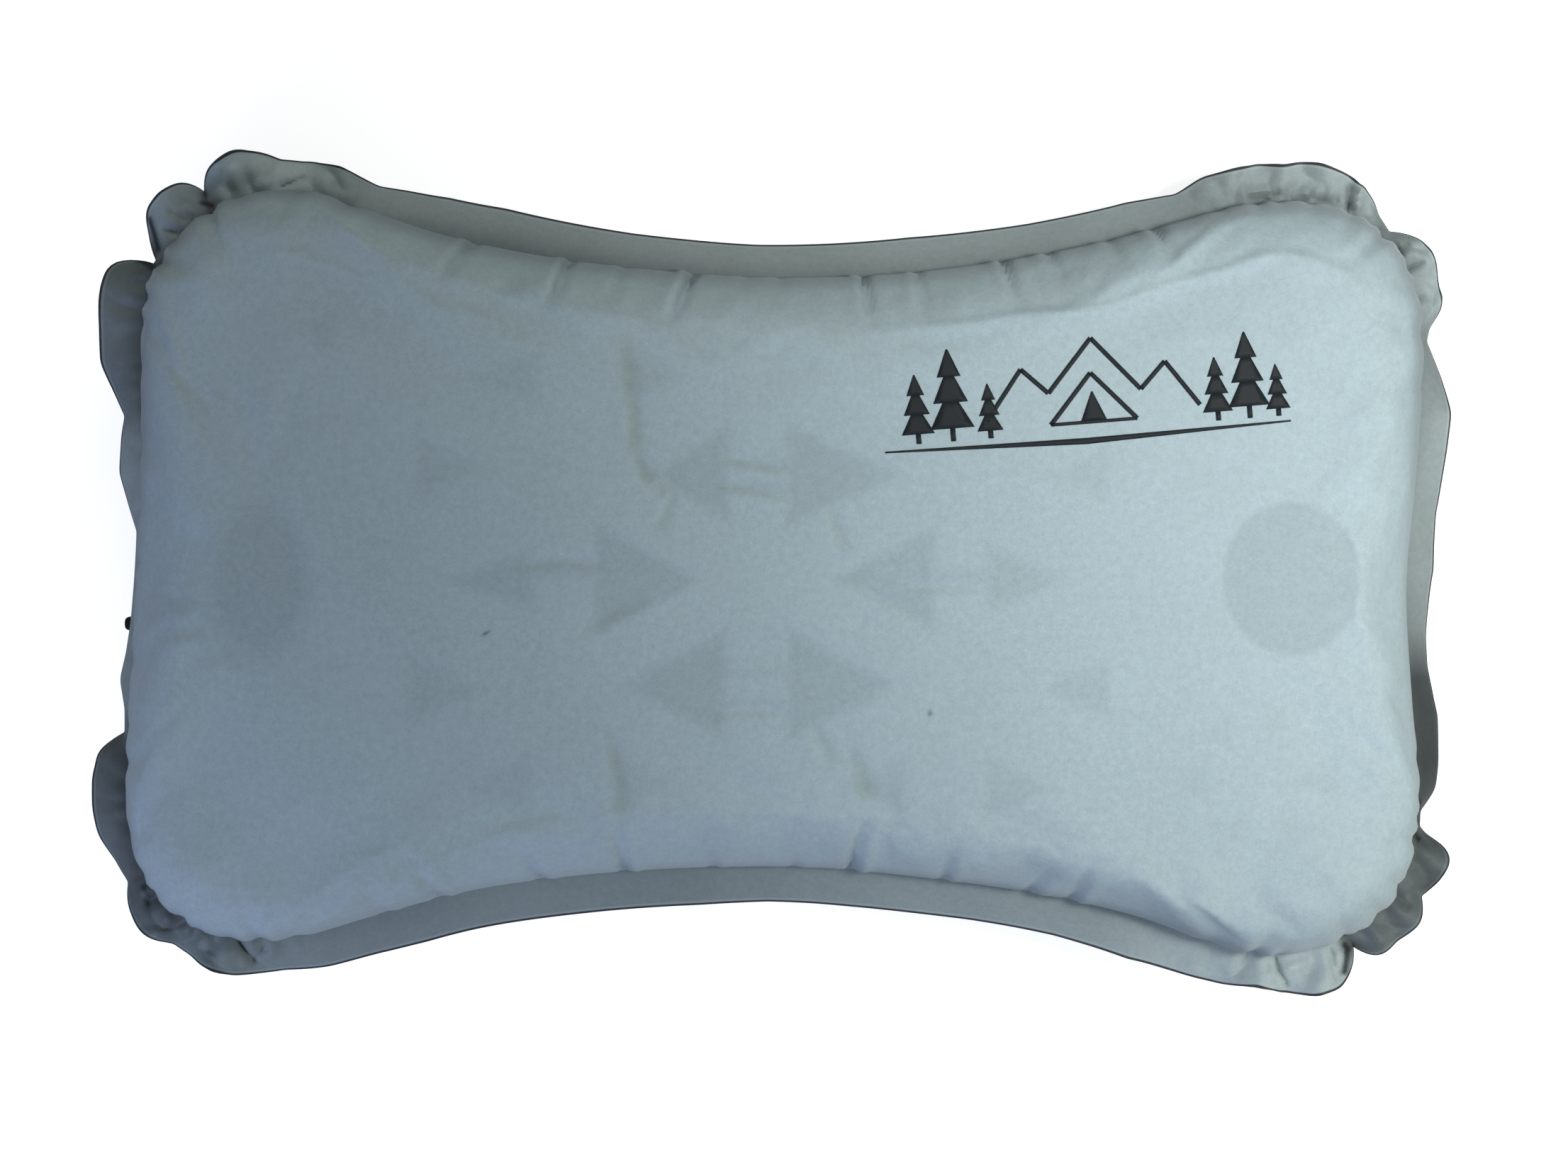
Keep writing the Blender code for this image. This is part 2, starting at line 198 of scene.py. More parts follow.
# Long soft folds in the face: (start x, y, end x, y, depth, half width)
SOFT_FOLDS = (
    # the long wavy fold left of the middle
    (-49.5, 80, -47.3, 60, 0.55, 2.2), (-47.6, 62, -46.3, 40, 0.75, 1.9),
    (-46.6, 40, -41.4, 30.5, 0.8, 1.7), (-42, 30.5, -35.5, 27, 0.6, 1.7),
    # below the middle
    (-54.5, -60, -50.2, -88, 0.55, 2.2), (14.7, -54, 21.5, -68, 0.7, 1.8),
    (26, -58, 30, -71, 0.6, 1.8), (31, -70, 36, -80, 0.4, 2),
    # off the corners of the foam's holes
    (-33, 28, -40.5, 11, 0.55, 1.5), (19.4, 23, 27.5, 5.5, 0.6, 1.5),
    (-64.5, -19.5, -38, -6.5, 0.6, 1.7), (-39, -8, -27, -1, 0.45, 1.5),
    (35, -7.5, 53, -15.8, 0.5, 1.6), (27, -19.5, 36, -13.5, 0.4, 1.5),
    (22.6, -1.9, 34, 2.5, 0.4, 1.6), (-31, -12, -22, -20, 0.35, 1.6),
    (-52, -38, -38, -45, 0.45, 1.6), (28, -44, 42, -38.5, 0.45, 1.6),
    (-110, -2, -96, -6.5, 0.35, 1.6), (86, -5.5, 101, -1.5, 0.35, 1.6), (30, 31, 45, 35, 0.35, 1.6),
    (-7, -57, -4, -66, 0.3, 2),
    # slots between the holes
    (-15, 40, 8.5, 35.5, 0.8, 1.4), (-17, 31, 8.5, 26.8, 0.9, 1.4), (-86, 2.6, -70, 5, 0.8, 1.4),
    (-72, 5, -55.5, 2.8, 0.8, 1.4), (50, -4.9, 81, -4.7, 0.9, 1.5),
    (-18, -28.5, 8, -28.8, 0.5, 1.5), (-19, -47.8, 10.5, -47.5, 0.8, 1.5),
    # left end
    (-221, 14, -212, -2, 0.7, 2), (-216, -4, -220.5, -17, 0.5, 1.8),
    (-214, -22, -190, -17, 0.6, 2.2), (-209, -7, -199, -14, 0.4, 2), (-184, 62, -176, 26, 0.5, 3),
    (-165, 66, -172, 30, 0.5, 3), (-200, 40, -190, 22, 0.3, 2.6), (-152, 60, -140, 52, 0.3, 2.6),
    # right end
    (203, 0.5, 221, 0, 0.4, 1.5), (178, 56, 179, 30, 0.3, 2), (205, -60, 216, -66, 0.3, 2),
    (206, 70, 216, 64, 0.3, 2),
)

# Holes in the foam that show through the face: (x, y, half width, half height, strength, softness)
FOAM_ROUNDS = (
    (180.2, -2, 24, 26.6, 1, 1.2), (-177.5, -2.5, 15.5, 24, 1.35, 7), (-199, -13, 12, 6, 0.5, 5),
    (-184, -27, 10, 5, 0.5, 5),
)
# Three-sided holes: (x of the flat side, x of the point, y, half height, strength)
FOAM_DARTS = (
    (-14.7, -39.8, 34.1, 17.3, 1), (6, 41.9, 34.1, 17.3, 1), (-82.5, -110.1, -1.9, 10.4, 0.9),
    (-60.4, -27.2, -1.9, 18.7, 1), (55.8, 22.6, -1.9, 17.3, 1), (75.1, 100, -1.9, 11, 0.9),
    (-16.1, -50.7, -38.5, 18.7, 1), (6, 41.9, -38.5, 18.7, 1), (-122.6, -101, 36.2, 11, 0.6),
    (-125.4, -101, -40.4, 11.8, 0.6), (116.6, 95.8, 34.3, 10.4, 0.6),
    (116.6, 94.5, -40.4, 10.4, 0.7), (-83.9, -106, -74.4, 11, 0.55), (-54.8, -35, -72, 9.7, 0.5),
    (46.1, 27, -74.4, 11, 0.55), (75.1, 98, -74.4, 11, 0.6), (-81, -106, 68, 9, 0.6),
    (-50.7, -31, 67.5, 7.5, 0.6), (40.6, 28, 67.5, 6, 0.4), (151.1, 137, -72, 7, 0.4),
    (196.8, 180, -72, 8, 0.45), (-151, -166, 84.6, 7, 0.45), (198, 184, 66.6, 7, 0.35),
    (159.4, 147, -53.7, 7, 0.35), (170.5, 182.5, -52.3, 7, 0.35), (163.6, 152.5, -88.8, 5.5, 0.35),
    (176, 189.5, -88.8, 6, 0.35), (162.5, 150, 86, 5.5, 0.3), (176, 190.5, 84.6, 6.5, 0.3),
)
# Slots that join two of them: (x, x, y, half height, strength)
FOAM_SLOTS = (
    (-14.7, 6, 37.6, 1.6, 0.8), (-14.7, 6, 29.6, 1.6, 0.8), (-82.5, -60.4, 1.2, 3.4, 0.6),
    (55.8, 75.1, -1.5, 2.6, 0.7), (-16.1, 6, -34.2, 1.6, 0.6), (-16.1, 6, -45, 1.6, 0.6),
)
FOAM_SOFTNESS = 3.0
FOAM_DEPTH = 0.35
DART_STRENGTH = 0.95

# ---------------------------------------------------------------- shapes


def ease(low, high, value):
    """0 below low, 1 above high, and the S curve t * t * (3 - 2 * t) between them."""
    t = np.clip((value - low) / (high - low), 0, 1)
    return t * t * (3 - 2 * t)


def bell(value, half_width):
    """1 at 0, falling to 1 / e at the half width: e to the minus (value / half width) squared."""
    return np.exp(-((value / half_width) ** 2))


def closed_curve(points, per_span=40):
    """A smooth closed curve through the points: a centripetal Catmull-Rom spline, where each
    span is a cubic whose end slopes come from the points on both sides."""
    here = np.array(points, dtype=float)
    before = np.roll(here, 1, axis=0)
    after = np.roll(here, -1, axis=0)
    beyond = np.roll(here, -2, axis=0)

    def root_length(a, b):
        return np.sqrt(np.linalg.norm(b - a, axis=1))[:, None]

    k0 = root_length(before, here)
    k1 = root_length(here, after)
    k2 = root_length(after, beyond)
    leave = k1 * ((here - before) / k0 - (after - before) / (k0 + k1) + (after - here) / k1)
    arrive = k1 * ((after - here) / k1 - (beyond - here) / (k1 + k2) + (beyond - after) / k2)
    t = np.linspace(0, 1, per_span, endpoint=False)[None, :, None]
    curve = (
        (2 * t**3 - 3 * t**2 + 1) * here[:, None]
        + (t**3 - 2 * t**2 + t) * leave[:, None]
        + (3 * t**2 - 2 * t**3) * after[:, None]
        + (t**3 - t**2) * arrive[:, None]
    )
    return curve.reshape(-1, here.shape[1])


class Weld:
    """The line where the two panels are welded, read by the distance along it. It is moved so
    that the outline of the flange has its middle at the origin."""

    def __init__(self):
        self.curve = closed_curve(WELD)
        steps = np.linalg.norm(np.roll(self.curve, -1, axis=0) - self.curve, axis=1)
        self.length = steps.sum()
        self.places = np.concatenate([[0.0], np.cumsum(steps)[:-1]])
        along = np.roll(self.curve, -1, axis=0) - np.roll(self.curve, 1, axis=0)
        along /= np.linalg.norm(along, axis=1)[:, None]
        self.outward = np.stack([along[:, 1], -along[:, 0]], axis=1)
        every = np.arange(0, self.length, 1.0)
        reach, _ = flange_edge(self, every)
        edge = self.points(every) + self.normals(every) * reach[:, None]
        self.curve = self.curve - (edge.min(axis=0) + edge.max(axis=0)) / 2

    def read(self, places, values):
        columns = [np.interp(places, self.places, v, period=self.length) for v in values.T]
        return np.stack(columns, axis=-1)

    def points(self, places):
        return self.read(places, self.curve)

    def normals(self, places):
        normal = self.read(places, self.outward)
        return normal / np.linalg.norm(normal, axis=-1)[..., None]

    def distance(self, places, centre):
        """How far each place is from the centre, round the nearer way."""
        return (places - centre + self.length / 2) % self.length - self.length / 2

    def height(self, places):
        """The weld droops by a bell-shaped dip where the valve hangs."""
        return WELD_HEIGHT - DROOP * bell(self.distance(places, VALVE_PLACE), DROOP_HALF_LENGTH)


def flange_edge(weld, places):
    """Reach and rise of the flange's edge at the places: the table's values, softened by a
    bell-weighted mean over a few mm, the rise over more of them than the reach."""
    table = np.array(FLANGE, dtype=float)
    edge = []
    for column, softness in ((1, REACH_SOFTNESS), (2, RISE_SOFTNESS)):
        shifts = np.linspace(-1.5 * softness, 1.5 * softness, 11)
        weights = bell(shifts, softness)
        weights /= weights.sum()
        spread = places[:, None] + shifts[None, :]
        values = np.interp(spread, table[:, 0], table[:, column], period=weld.length)
        edge.append(values @ weights)
    return edge


def swell(inset, shoulder):
    """Share of a panel's full height, from 0 at the weld, where it stands upright, to 1 where
    it becomes level: the square root of 1 - (1 - inset / shoulder) ** power."""
    left = np.clip(1 - inset / shoulder, 0, 1)
    return np.sqrt(1 - left**SHOULDER_POWER)


def make_mesh(name, points, faces, materials, material_index=None):
    """A smooth-shaded object from points in mm and lists of corners."""
    mesh = bpy.data.meshes.new(name)
    mesh.from_pydata((np.asarray(points) * MM).tolist(), [], faces)
    for material in materials:
        mesh.materials.append(material)
    if material_index is not None:
        mesh.polygons.foreach_set("material_index", material_index)
    mesh.shade_smooth()
    mesh.update()
    thing = bpy.data.objects.new(name, mesh)
    bpy.context.scene.collection.objects.link(thing)
    return thing


def apply_modifiers(thing):
    """Replaces the object's mesh by what its modifiers make of it."""
    graph = bpy.context.evaluated_depsgraph_get()
    mesh = bpy.data.meshes.new_from_object(thing.evaluated_get(graph), depsgraph=graph)
    mesh.name = thing.name
    thing.modifiers.clear()
    thing.data = mesh


def coordinates(mesh):
    points = np.empty(len(mesh.vertices) * 3, dtype=np.float32)
    mesh.vertices.foreach_get("co", points)
    return points.reshape(-1, 3).astype(float)


def vertex_normals(mesh):
    normals = np.empty(len(mesh.vertices) * 3, dtype=np.float32)
    mesh.vertex_normals.foreach_get("vector", normals)
    return normals.reshape(-1, 3).astype(float)


def add_attribute(mesh, name, values):
    mesh.attributes.new(name, "FLOAT", "POINT").data.foreach_set("value", values.astype(np.float32))


# ---------------------------------------------------------------- the filled body


def body_columns(weld):
    """Places of the body's columns: as many over the top half, from the right end's middle to
    the left end's, as over the bottom half back again."""
    x, y = weld.curve.T
    crosses = (y < 0) != (np.roll(y, -1) < 0)
    right = weld.places[crosses & (x > 0)][0]
    left = weld.places[crosses & (x < 0)][0]
    half = BODY_COLUMNS // 2
    top = np.linspace(right, left, half, endpoint=False)
    bottom = np.linspace(left, right + weld.length, half, endpoint=False)
    return np.concatenate([top, bottom])


def body_surface(weld, places):
    """Points of the body in rings. Each column runs in a straight line in plan from the weld to
    its place on a hub line along the middle, at half length * cos(pi * share of the half way
    round). Over the face the height is the weld's plus the rise times swell, plus a crown that
    grows with t * (2 - t); over the back it falls by swell to the flat patch at 0."""
    edge = weld.points(places)
    height = weld.height(places)
    turn = np.arange(BODY_COLUMNS) / BODY_COLUMNS * 2 * math.pi
    hub = np.column_stack([HUB_LENGTH * np.cos(turn), np.zeros(BODY_COLUMNS)])
    inward = hub - edge
    room = np.linalg.norm(inward, axis=1)
    inward /= room[:, None]
    beside_valve = bell(weld.distance(places, VALVE_PLACE), HOLLOW_HALF_LENGTH)
    rise = FACE_TOP - CROWN_RISE - height
    wide_place, extra, half_length = WIDE_SHOULDER
    shoulder = FACE_SHOULDER + extra * bell(weld.distance(places, wide_place), half_length)

    def face_ring(share):
        step = room * share
        crown = CROWN_RISE * share * (2 - share)
        z = height + rise * swell(step, shoulder) + crown
        return np.column_stack([edge + inward * step[:, None], z, step])

    def back_ring(share):
        step = room * share
        z = height * (1 - swell(step, BACK_SHOULDER))
        depth = (height - z - HOLLOW_CENTRE) / HOLLOW_HALF_HEIGHT
        plan = edge + inward * (step + HOLLOW * beside_valve * bell(depth, 1.0))[:, None]
        return np.column_stack([plan, z, step])

    face = [face_ring(k**FACE_CROWDING) for k in np.linspace(0, 1, FACE_RINGS + 1)]
    back = [back_ring(k**BACK_CROWDING) for k in np.linspace(0, 1, BACK_RINGS + 1)]
    return face, back


WELD_GROUP = "weld"
TAUT_GROUP = "taut"
INSET = "inset"
# Insets where the cloth turns from slack to taut, and the number of steps between them
SLACK_BAND = (10.0, 40.0)
SLACK_STEPS = 20


def band_between(row, above):
    """Four-cornered faces between two closed rings of points."""
    return np.stack([row, np.roll(row, -1), np.roll(above, -1), above], axis=1)


def build_body(weld, cloth, back_cloth):
    """The two panels as one closed net. The last ring of each panel is a line of points that the
    two halves share, so both panels close without a gap."""
    face, back = body_surface(weld, body_columns(weld))
    count = BODY_COLUMNS
    ring = np.arange(count)
    folded = np.clip(np.minimum(ring, count - ring), 1, count // 2 - 1)
    hub_columns = np.arange(1, count // 2)
    points = [face[0]]
    panels = []
    total = count
    for rings in (face, back):
        row = ring
        bands = []
        for ring_points in rings[1:-1]:
            above = ring + total
            points.append(ring_points)
            total += count
            bands.append(band_between(row, above))
            row = above
        points.append(rings[-1][hub_columns])
        bands.append(band_between(row, folded - 1 + total))
        total += len(hub_columns)
        panels.append(np.vstack(bands))
    panels[1] = panels[1][:, ::-1]
    faces = [tuple(dict.fromkeys(corners)) for corners in np.vstack(panels).tolist()]
    panel_of = np.repeat([0, 1], [len(panel) for panel in panels]).astype(np.int32)
    points = np.vstack(points)
    inset = points[:, 3]
    body = make_mesh("filled_body", points[:, :3], faces, [cloth, back_cloth], panel_of)
    add_attribute(body.data, INSET, inset)
    body.vertex_groups.new(name=WELD_GROUP).add(ring.tolist(), 1.0, "REPLACE")
    taut = body.vertex_groups.new(name=TAUT_GROUP)
    steps = np.round(ease(*SLACK_BAND, inset) * SLACK_STEPS).astype(int)
    for step in range(SLACK_STEPS + 1):
        taut.add(np.nonzero(steps == step)[0].tolist(), step / SLACK_STEPS, "REPLACE")
    return body


# Blowing up the body: it starts this far inside its shape, for this many frames
START_INSIDE = 1.0
BLOW_FRAMES = 20
BLOW_PRESSURE = 1.0
CLOTH_STIFFNESS = 40.0
CLOTH_SLACK = -0.04
# The share of the puckers that is kept, and of the broad swell, a mean over some columns; the
# insets over which the move comes in beside the weld and goes again; the most a point may move
PUCKER_SHARE = 0.6
BROAD_SHARE = 0.15
BROAD_COLUMNS = 13
WELD_FADE = (1.0, 9.0)
MIDDLE_FADE = (38.0, 66.0)
MOST_MOVE = 4.5


def keep_puckers(move, insets):
    """Of each point's move keeps a share of what changes along its ring and a small share of
    what its neighbours have in common, their bell-weighted mean; none of it at the weld or in
    the middle of the panel."""
    rings_end = BODY_COLUMNS * (FACE_RINGS + BACK_RINGS - 1)
    face_end = BODY_COLUMNS * FACE_RINGS
    hub = BODY_COLUMNS // 2 - 1
    kept = move * BROAD_SHARE
    shifts = np.arange(-3 * BROAD_COLUMNS, 3 * BROAD_COLUMNS + 1)
    weights = bell(shifts, BROAD_COLUMNS)
    weights /= weights.sum()
    for first, last in ((0, face_end), (face_end + hub, rings_end + hub)):
        rings = move[first:last].reshape(-1, BODY_COLUMNS, 3)
        broad = sum(w * np.roll(rings, k, axis=1) for k, w in zip(shifts, weights))
        kept[first:last] = (rings - (1 - BROAD_SHARE) * broad).reshape(-1, 3)
    fade = ease(*WELD_FADE, insets) * (1 - ease(*MIDDLE_FADE, insets))
    return PUCKER_SHARE * kept * fade[:, None]


def swell_with_cloth(body):
    """Starts a little inside its shape, blows the cloth up against its weld for some frames
    with some slack near the weld, and keeps each point's move up to the most that is allowed:
    most * tanh(move / most)."""
    mesh = body.data
    target = coordinates(mesh)
    pull = np.zeros(len(target))
    pull[BODY_COLUMNS:] = START_INSIDE * MM
    start = target - vertex_normals(mesh) * pull[:, None]
    mesh.vertices.foreach_set("co", start.astype(np.float32).ravel())
    mesh.update()
    cloth = body.modifiers.new("cloth", "CLOTH")
    settings = cloth.settings
    settings.quality = 5
    settings.mass = 0.3
    settings.tension_stiffness = CLOTH_STIFFNESS
    settings.compression_stiffness = CLOTH_STIFFNESS
    settings.shear_stiffness = CLOTH_STIFFNESS / 3
    settings.bending_stiffness = 0.3
    settings.vertex_group_mass = WELD_GROUP
    settings.use_pressure = True
    settings.uniform_pressure_force = BLOW_PRESSURE
    settings.vertex_group_shrink = TAUT_GROUP
    settings.shrink_min = CLOTH_SLACK
    settings.shrink_max = 0.0
    settings.effector_weights.gravity = 0
    cloth.collision_settings.use_collision = False
    cloth.point_cache.frame_start = 1
    cloth.point_cache.frame_end = BLOW_FRAMES
    scene = bpy.context.scene
    for moment in range(1, BLOW_FRAMES + 1):
        scene.frame_set(moment)
    blown = body.evaluated_get(bpy.context.evaluated_depsgraph_get())
    move = coordinates(blown.to_mesh()) - start
    blown.to_mesh_clear()
    body.modifiers.remove(cloth)
    scene.frame_set(1)
    insets = np.empty(len(target), dtype=np.float32)
    mesh.attributes[INSET].data.foreach_get("value", insets)
    move = keep_puckers(move, insets)
    most = MOST_MOVE * MM
    far = np.maximum(np.linalg.norm(move, axis=1), 1e-9)
    kept = target + move * (most * np.tanh(far / most) / far)[:, None]
    mesh.vertices.foreach_set("co", kept.astype(np.float32).ravel())
    mesh.update()


# A fold's line sways by a share of its half width, its far end is wider by a share, and a ridge
# runs beside it: height as a share of the depth, distance and width in half widths
FOLD_SWAY = 0.08
FOLD_SWAY_TURN = 5.0
FOLD_WIDENING = 0.5
FOLD_RIDGE = (0.38, 2.1, 1.2)


def trough(x, y, folds, outer_fade, inner_fade):
    """Depth at each point of all the folds: across a fold a bell, with a low ridge beside it,
    and along it a rise over the outer fade in mm at its start, and a fall from the inner fade,
    a share of its length, to its end."""
    depth = np.zeros_like(x)
    high, aside, broad = FOLD_RIDGE
    for x0, y0, x1, y1, deep, half_width in folds:
        dx = x1 - x0
        dy = y1 - y0
        length = math.hypot(dx, dy)
        along = ((x - x0) * dx + (y - y0) * dy) / length
        across = ((x - x0) * dy - (y - y0) * dx) / length
        bend = across + FOLD_SWAY * half_width * np.sin(along / length * FOLD_SWAY_TURN)
        span = ease(-outer_fade, outer_fade, along) * (1 - ease(length * inner_fade, length, along))
        wide = half_width * (1 + FOLD_WIDENING * np.clip(along / length, 0, 1))
        depth += deep * span * (bell(bend, wide) - high * bell(bend - aside * wide, broad * wide))
    return depth


# Points that are looked up along the weld at a time, to save memory
LOOKUP_BATCH = 4000


def near_weld(weld, x, y):
    """Place along the weld and inset of each point: the nearest point of the weld, then the
    rest of the way along its direction there."""
    place = np.empty(len(x))
    inset = np.empty(len(x))
    for first in range(0, len(x), LOOKUP_BATCH):
        part = slice(first, first + LOOKUP_BATCH)
        away = np.stack([x[part, None] - weld.curve[:, 0], y[part, None] - weld.curve[:, 1]])
        nearest = np.argmin((away**2).sum(axis=0), axis=1)
        rest = away[:, np.arange(len(nearest)), nearest]
        out_x, out_y = weld.outward[nearest].T
        place[part] = weld.places[nearest] - out_y * rest[0] + out_x * rest[1]
        inset[part] = -(out_x * rest[0] + out_y * rest[1])
    return place % weld.length, inset


def gather_depth(weld, place, inset):
    """Depth of all the gathers: each is a bell across, with a low ridge on both sides, that
    widens and fades over its length inwards."""
    depth = np.zeros_like(place)
    inwards = np.maximum(inset, 0)
    for centre, deep, half_width, length, lean in GATHERS:
        across = weld.distance(place, centre) - lean * inwards
        wide = half_width * (1 + inwards / length)
        fade = 1 - ease(*GATHER_FADE, inwards / length)
        profile = bell(across, wide) - GATHER_RIDGE * bell(np.abs(across) - 2 * wide, wide)
        depth += deep * fade * profile
    return depth


def shoulder_ridges(weld, place, inset):
    """Height of the low ridges that run along the shoulder: a bell across, about an inset that
    wanders with two sines, faded over the outer part of each half."""
    height = np.zeros_like(place)
    wander = 1.2 * np.sin(place / 17.0) + 0.8 * np.sin(place / 7.3)
    for first, last, at, high in SHOULDER_RIDGES:
        half = (last - first) / 2
        away = np.abs(weld.distance(place, (first + last) / 2))
        ends = 1 - ease(half * 0.6, half, away)
        height += high * ends * bell(inset - (at + wander), SHOULDER_RIDGE_HALF_WIDTH)
    return height


def foam_holes(x, y):
    """How strongly the foam's holes show at each point: ellipses, three-sided darts and slots,
    each with an edge softened over a few mm."""
    shown = np.zeros_like(x)
    for x0, y0, half_x, half_y, strength, soft in FOAM_ROUNDS:
        radius = np.hypot((x - x0) / half_x, (y - y0) / half_y)
        outside = (radius - 1) * min(half_x, half_y)
        shown = np.maximum(shown, strength * (1 - ease(-soft, soft, outside)))
    for base, point, y0, half_height, strength in FOAM_DARTS:
        length = abs(point - base)
        slope = math.hypot(length, half_height)
        from_base = (x - base) * math.copysign(1, point - base)
        side = (np.abs(y - y0) * length - (length - from_base) * half_height) / slope
        outside = np.maximum(side, -from_base)
        edge = 1 - ease(-FOAM_SOFTNESS, FOAM_SOFTNESS, outside)
        shown = np.maximum(shown, DART_STRENGTH * strength * edge)
    for left, right, y0, half_height, strength in FOAM_SLOTS:
        outside = np.maximum(np.abs(y - y0) - half_height, np.maximum(left - x, x - right))
        edge = 1 - ease(-FOAM_SOFTNESS, FOAM_SOFTNESS, outside)
        shown = np.maximum(shown, strength * edge)
    return shown


# Painted shade where the face meets the weld, wider and stronger along the top: its inset and
# width, the width added at the top, and its strength at the bottom and at the top
PAINTED_WELD_SHADE_START = 0.3
PAINTED_WELD_SHADE_WIDTH = 4.0
PAINTED_WELD_SHADE_EXTRA = 4.0
PAINTED_WELD_SHADE_STRENGTH = (0.5, 1.0)

# Faint yellowish streaks, as folds are listed: the depth is their strength
STAINS = (
    (-51, 82, -47.5, 60, 1, 2.8), (-48, 62, -46.5, 40, 1.3, 2.2), (-47, 41, -40.5, 30, 1.5, 1.9),
    (-41.5, 31, -34.5, 26.5, 1, 1.9), (-54.9, -58, -49.5, -90, 0.9, 2.4),
    (29.4, -64, 34.5, -80, 1.1, 2.8), (15.5, -54, 26.5, -71, 0.6, 2.2),
    (-33, 28, -40, 12, 0.8, 1.8), (20, 22, 27, 6, 0.7, 1.8), (-64, -19, -39, -7, 0.5, 2.2),
)
# Small dark specks on the face: (x, y, radius)
SPECKS = ((-98.6, -20.9, 0.9), (55.1, -48.4, 0.8))

# How each kind of fold fades: in mm at its start, and from which share of its length to its end
CREASE_FADES = (1.5, 0.35)
SOFT_FOLD_FADES = (4.0, 0.6)
STAIN_FADES = (6.0, 0.7)
PLEAT_FADES = (1.0, 0.8)
# Heights from the weld between which the face's folds come in, and those between which the
# gathers do, and the insets over which the gathers end
ON_FACE = (1.0, 8.0)
GATHERS_FROM = (-16.0, -2.0)
GATHERS_END = (40.0, 50.0)


def specks(x, y):
    """1 at the middle of each speck, falling as a bell over its radius."""
    return sum(bell(np.hypot(x - x0, y - y0), radius) for x0, y0, radius in SPECKS)


def painted_weld_shade(y, inset):
    """Strength of the painted shade inside the weld: from full at its start it falls to none over a
    width that grows towards the top, as the strength itself does."""
    upper = ease(0, 60, y)
    width = PAINTED_WELD_SHADE_WIDTH + PAINTED_WELD_SHADE_EXTRA * upper
    low, high = PAINTED_WELD_SHADE_STRENGTH
    return (1 - ease(0, 1, (inset - PAINTED_WELD_SHADE_START) / width)) * (low + (high - low) * upper)


def finish_body(body, weld):
    """One subdivision, then all the folds, pushed in along the normals, and the flat resting
    patch at 0."""
    finer = body.modifiers.new("finer", "SUBSURF")
    finer.levels = 1
    finer.render_levels = 1
    apply_modifiers(body)
    mesh = body.data
    points = coordinates(mesh) / MM
    normals = vertex_normals(mesh)
    x, y, z = points.T
    above_weld = z - WELD_HEIGHT
    on_face = ease(*ON_FACE, above_weld)
    holes = foam_holes(x, y) * on_face
    creases = trough(x, y, CREASES, *CREASE_FADES)
    folds = trough(x, y, SOFT_FOLDS, *SOFT_FOLD_FADES)
    place, inset = near_weld(weld, x, y)
    beside_weld = ease(*GATHERS_FROM, above_weld) * (1 - ease(*GATHERS_END, inset))
    gathers = gather_depth(weld, place, inset) * beside_weld
    ridges = shoulder_ridges(weld, place, inset) * on_face
    sink = (creases + folds) * on_face + FOAM_DEPTH * holes + gathers - ridges
    points -= normals * sink[:, None]
    points[:, 2] = np.maximum(points[:, 2], 0)
    mesh.vertices.foreach_set("co", (points * MM).astype(np.float32).ravel())
    add_attribute(mesh, "foam_hole", holes)
    add_attribute(mesh, "stain", trough(x, y, STAINS, *STAIN_FADES) * on_face)
    add_attribute(mesh, "speck", specks(x, y) * on_face)
    # painted shade along the weld
    add_attribute(mesh, "painted_weld_shade", painted_weld_shade(y, inset))
    mesh.update()


# ---------------------------------------------------------------- the flange

# Painted light and shade on the flange's cloth, lighter or darker where it is turned to or from the
# lamps or lies in the body's shadow, and the painted shadow that darkens it towards the weld:
# (place along the weld, painted light and shade, painted shadow at the weld)
FLANGE_PAINTED_LIGHT_AND_SHADE = (
    (20, 0.95, 0.3), (85, 0.95, 0.4), (105, 1.15, 0.45), (124, 0.8, 0.6), (140, 1.1, 0.4),
    (200, 1.1, 0.5), (260, 1, 0.45), (440, 1, 0.5), (500, 1.2, 0.4), (520, 1.6, 0.3),
    (545, 1.55, 0.3), (550, 1.1, 0.6), (553, 0.3, 0.6), (556, 1, 0.6), (562, 1.1, 0.5),
    (572, 1, 0.5), (578, 0.7, 0.6), (582, 0.22, 0.6), (586, 0.5, 0.6), (592, 0.62, 0.6),
    (620, 0.6, 0.6), (632, 0.7, 0.5), (642, 1.15, 0.3), (690, 1.3, 0.2), (735, 1.1, 0.3),
    (747, 0.7, 0.5), (752, 0.45, 0.7), (780, 0.47, 0.7), (800, 0.42, 0.7), (820, 0.55, 0.5),
    (835, 0.85, 0.4), (860, 0.85, 0.2), (1000, 0.8, 0.15), (1150, 0.95, 0.15), (1195, 1.35, 0.15),
    (1234, 1.35, 0.15), (1237, 0.5, 0.4), (1250, 0.36, 0.1), (1275, 0.32, 0.1), (1284, 0.2, 0.1),
    (1292, 0.2, 0.1), (1310, 0.12, 0.3), (1340, 0.17, 0.4), (1358, 0.8, 0.4),
)

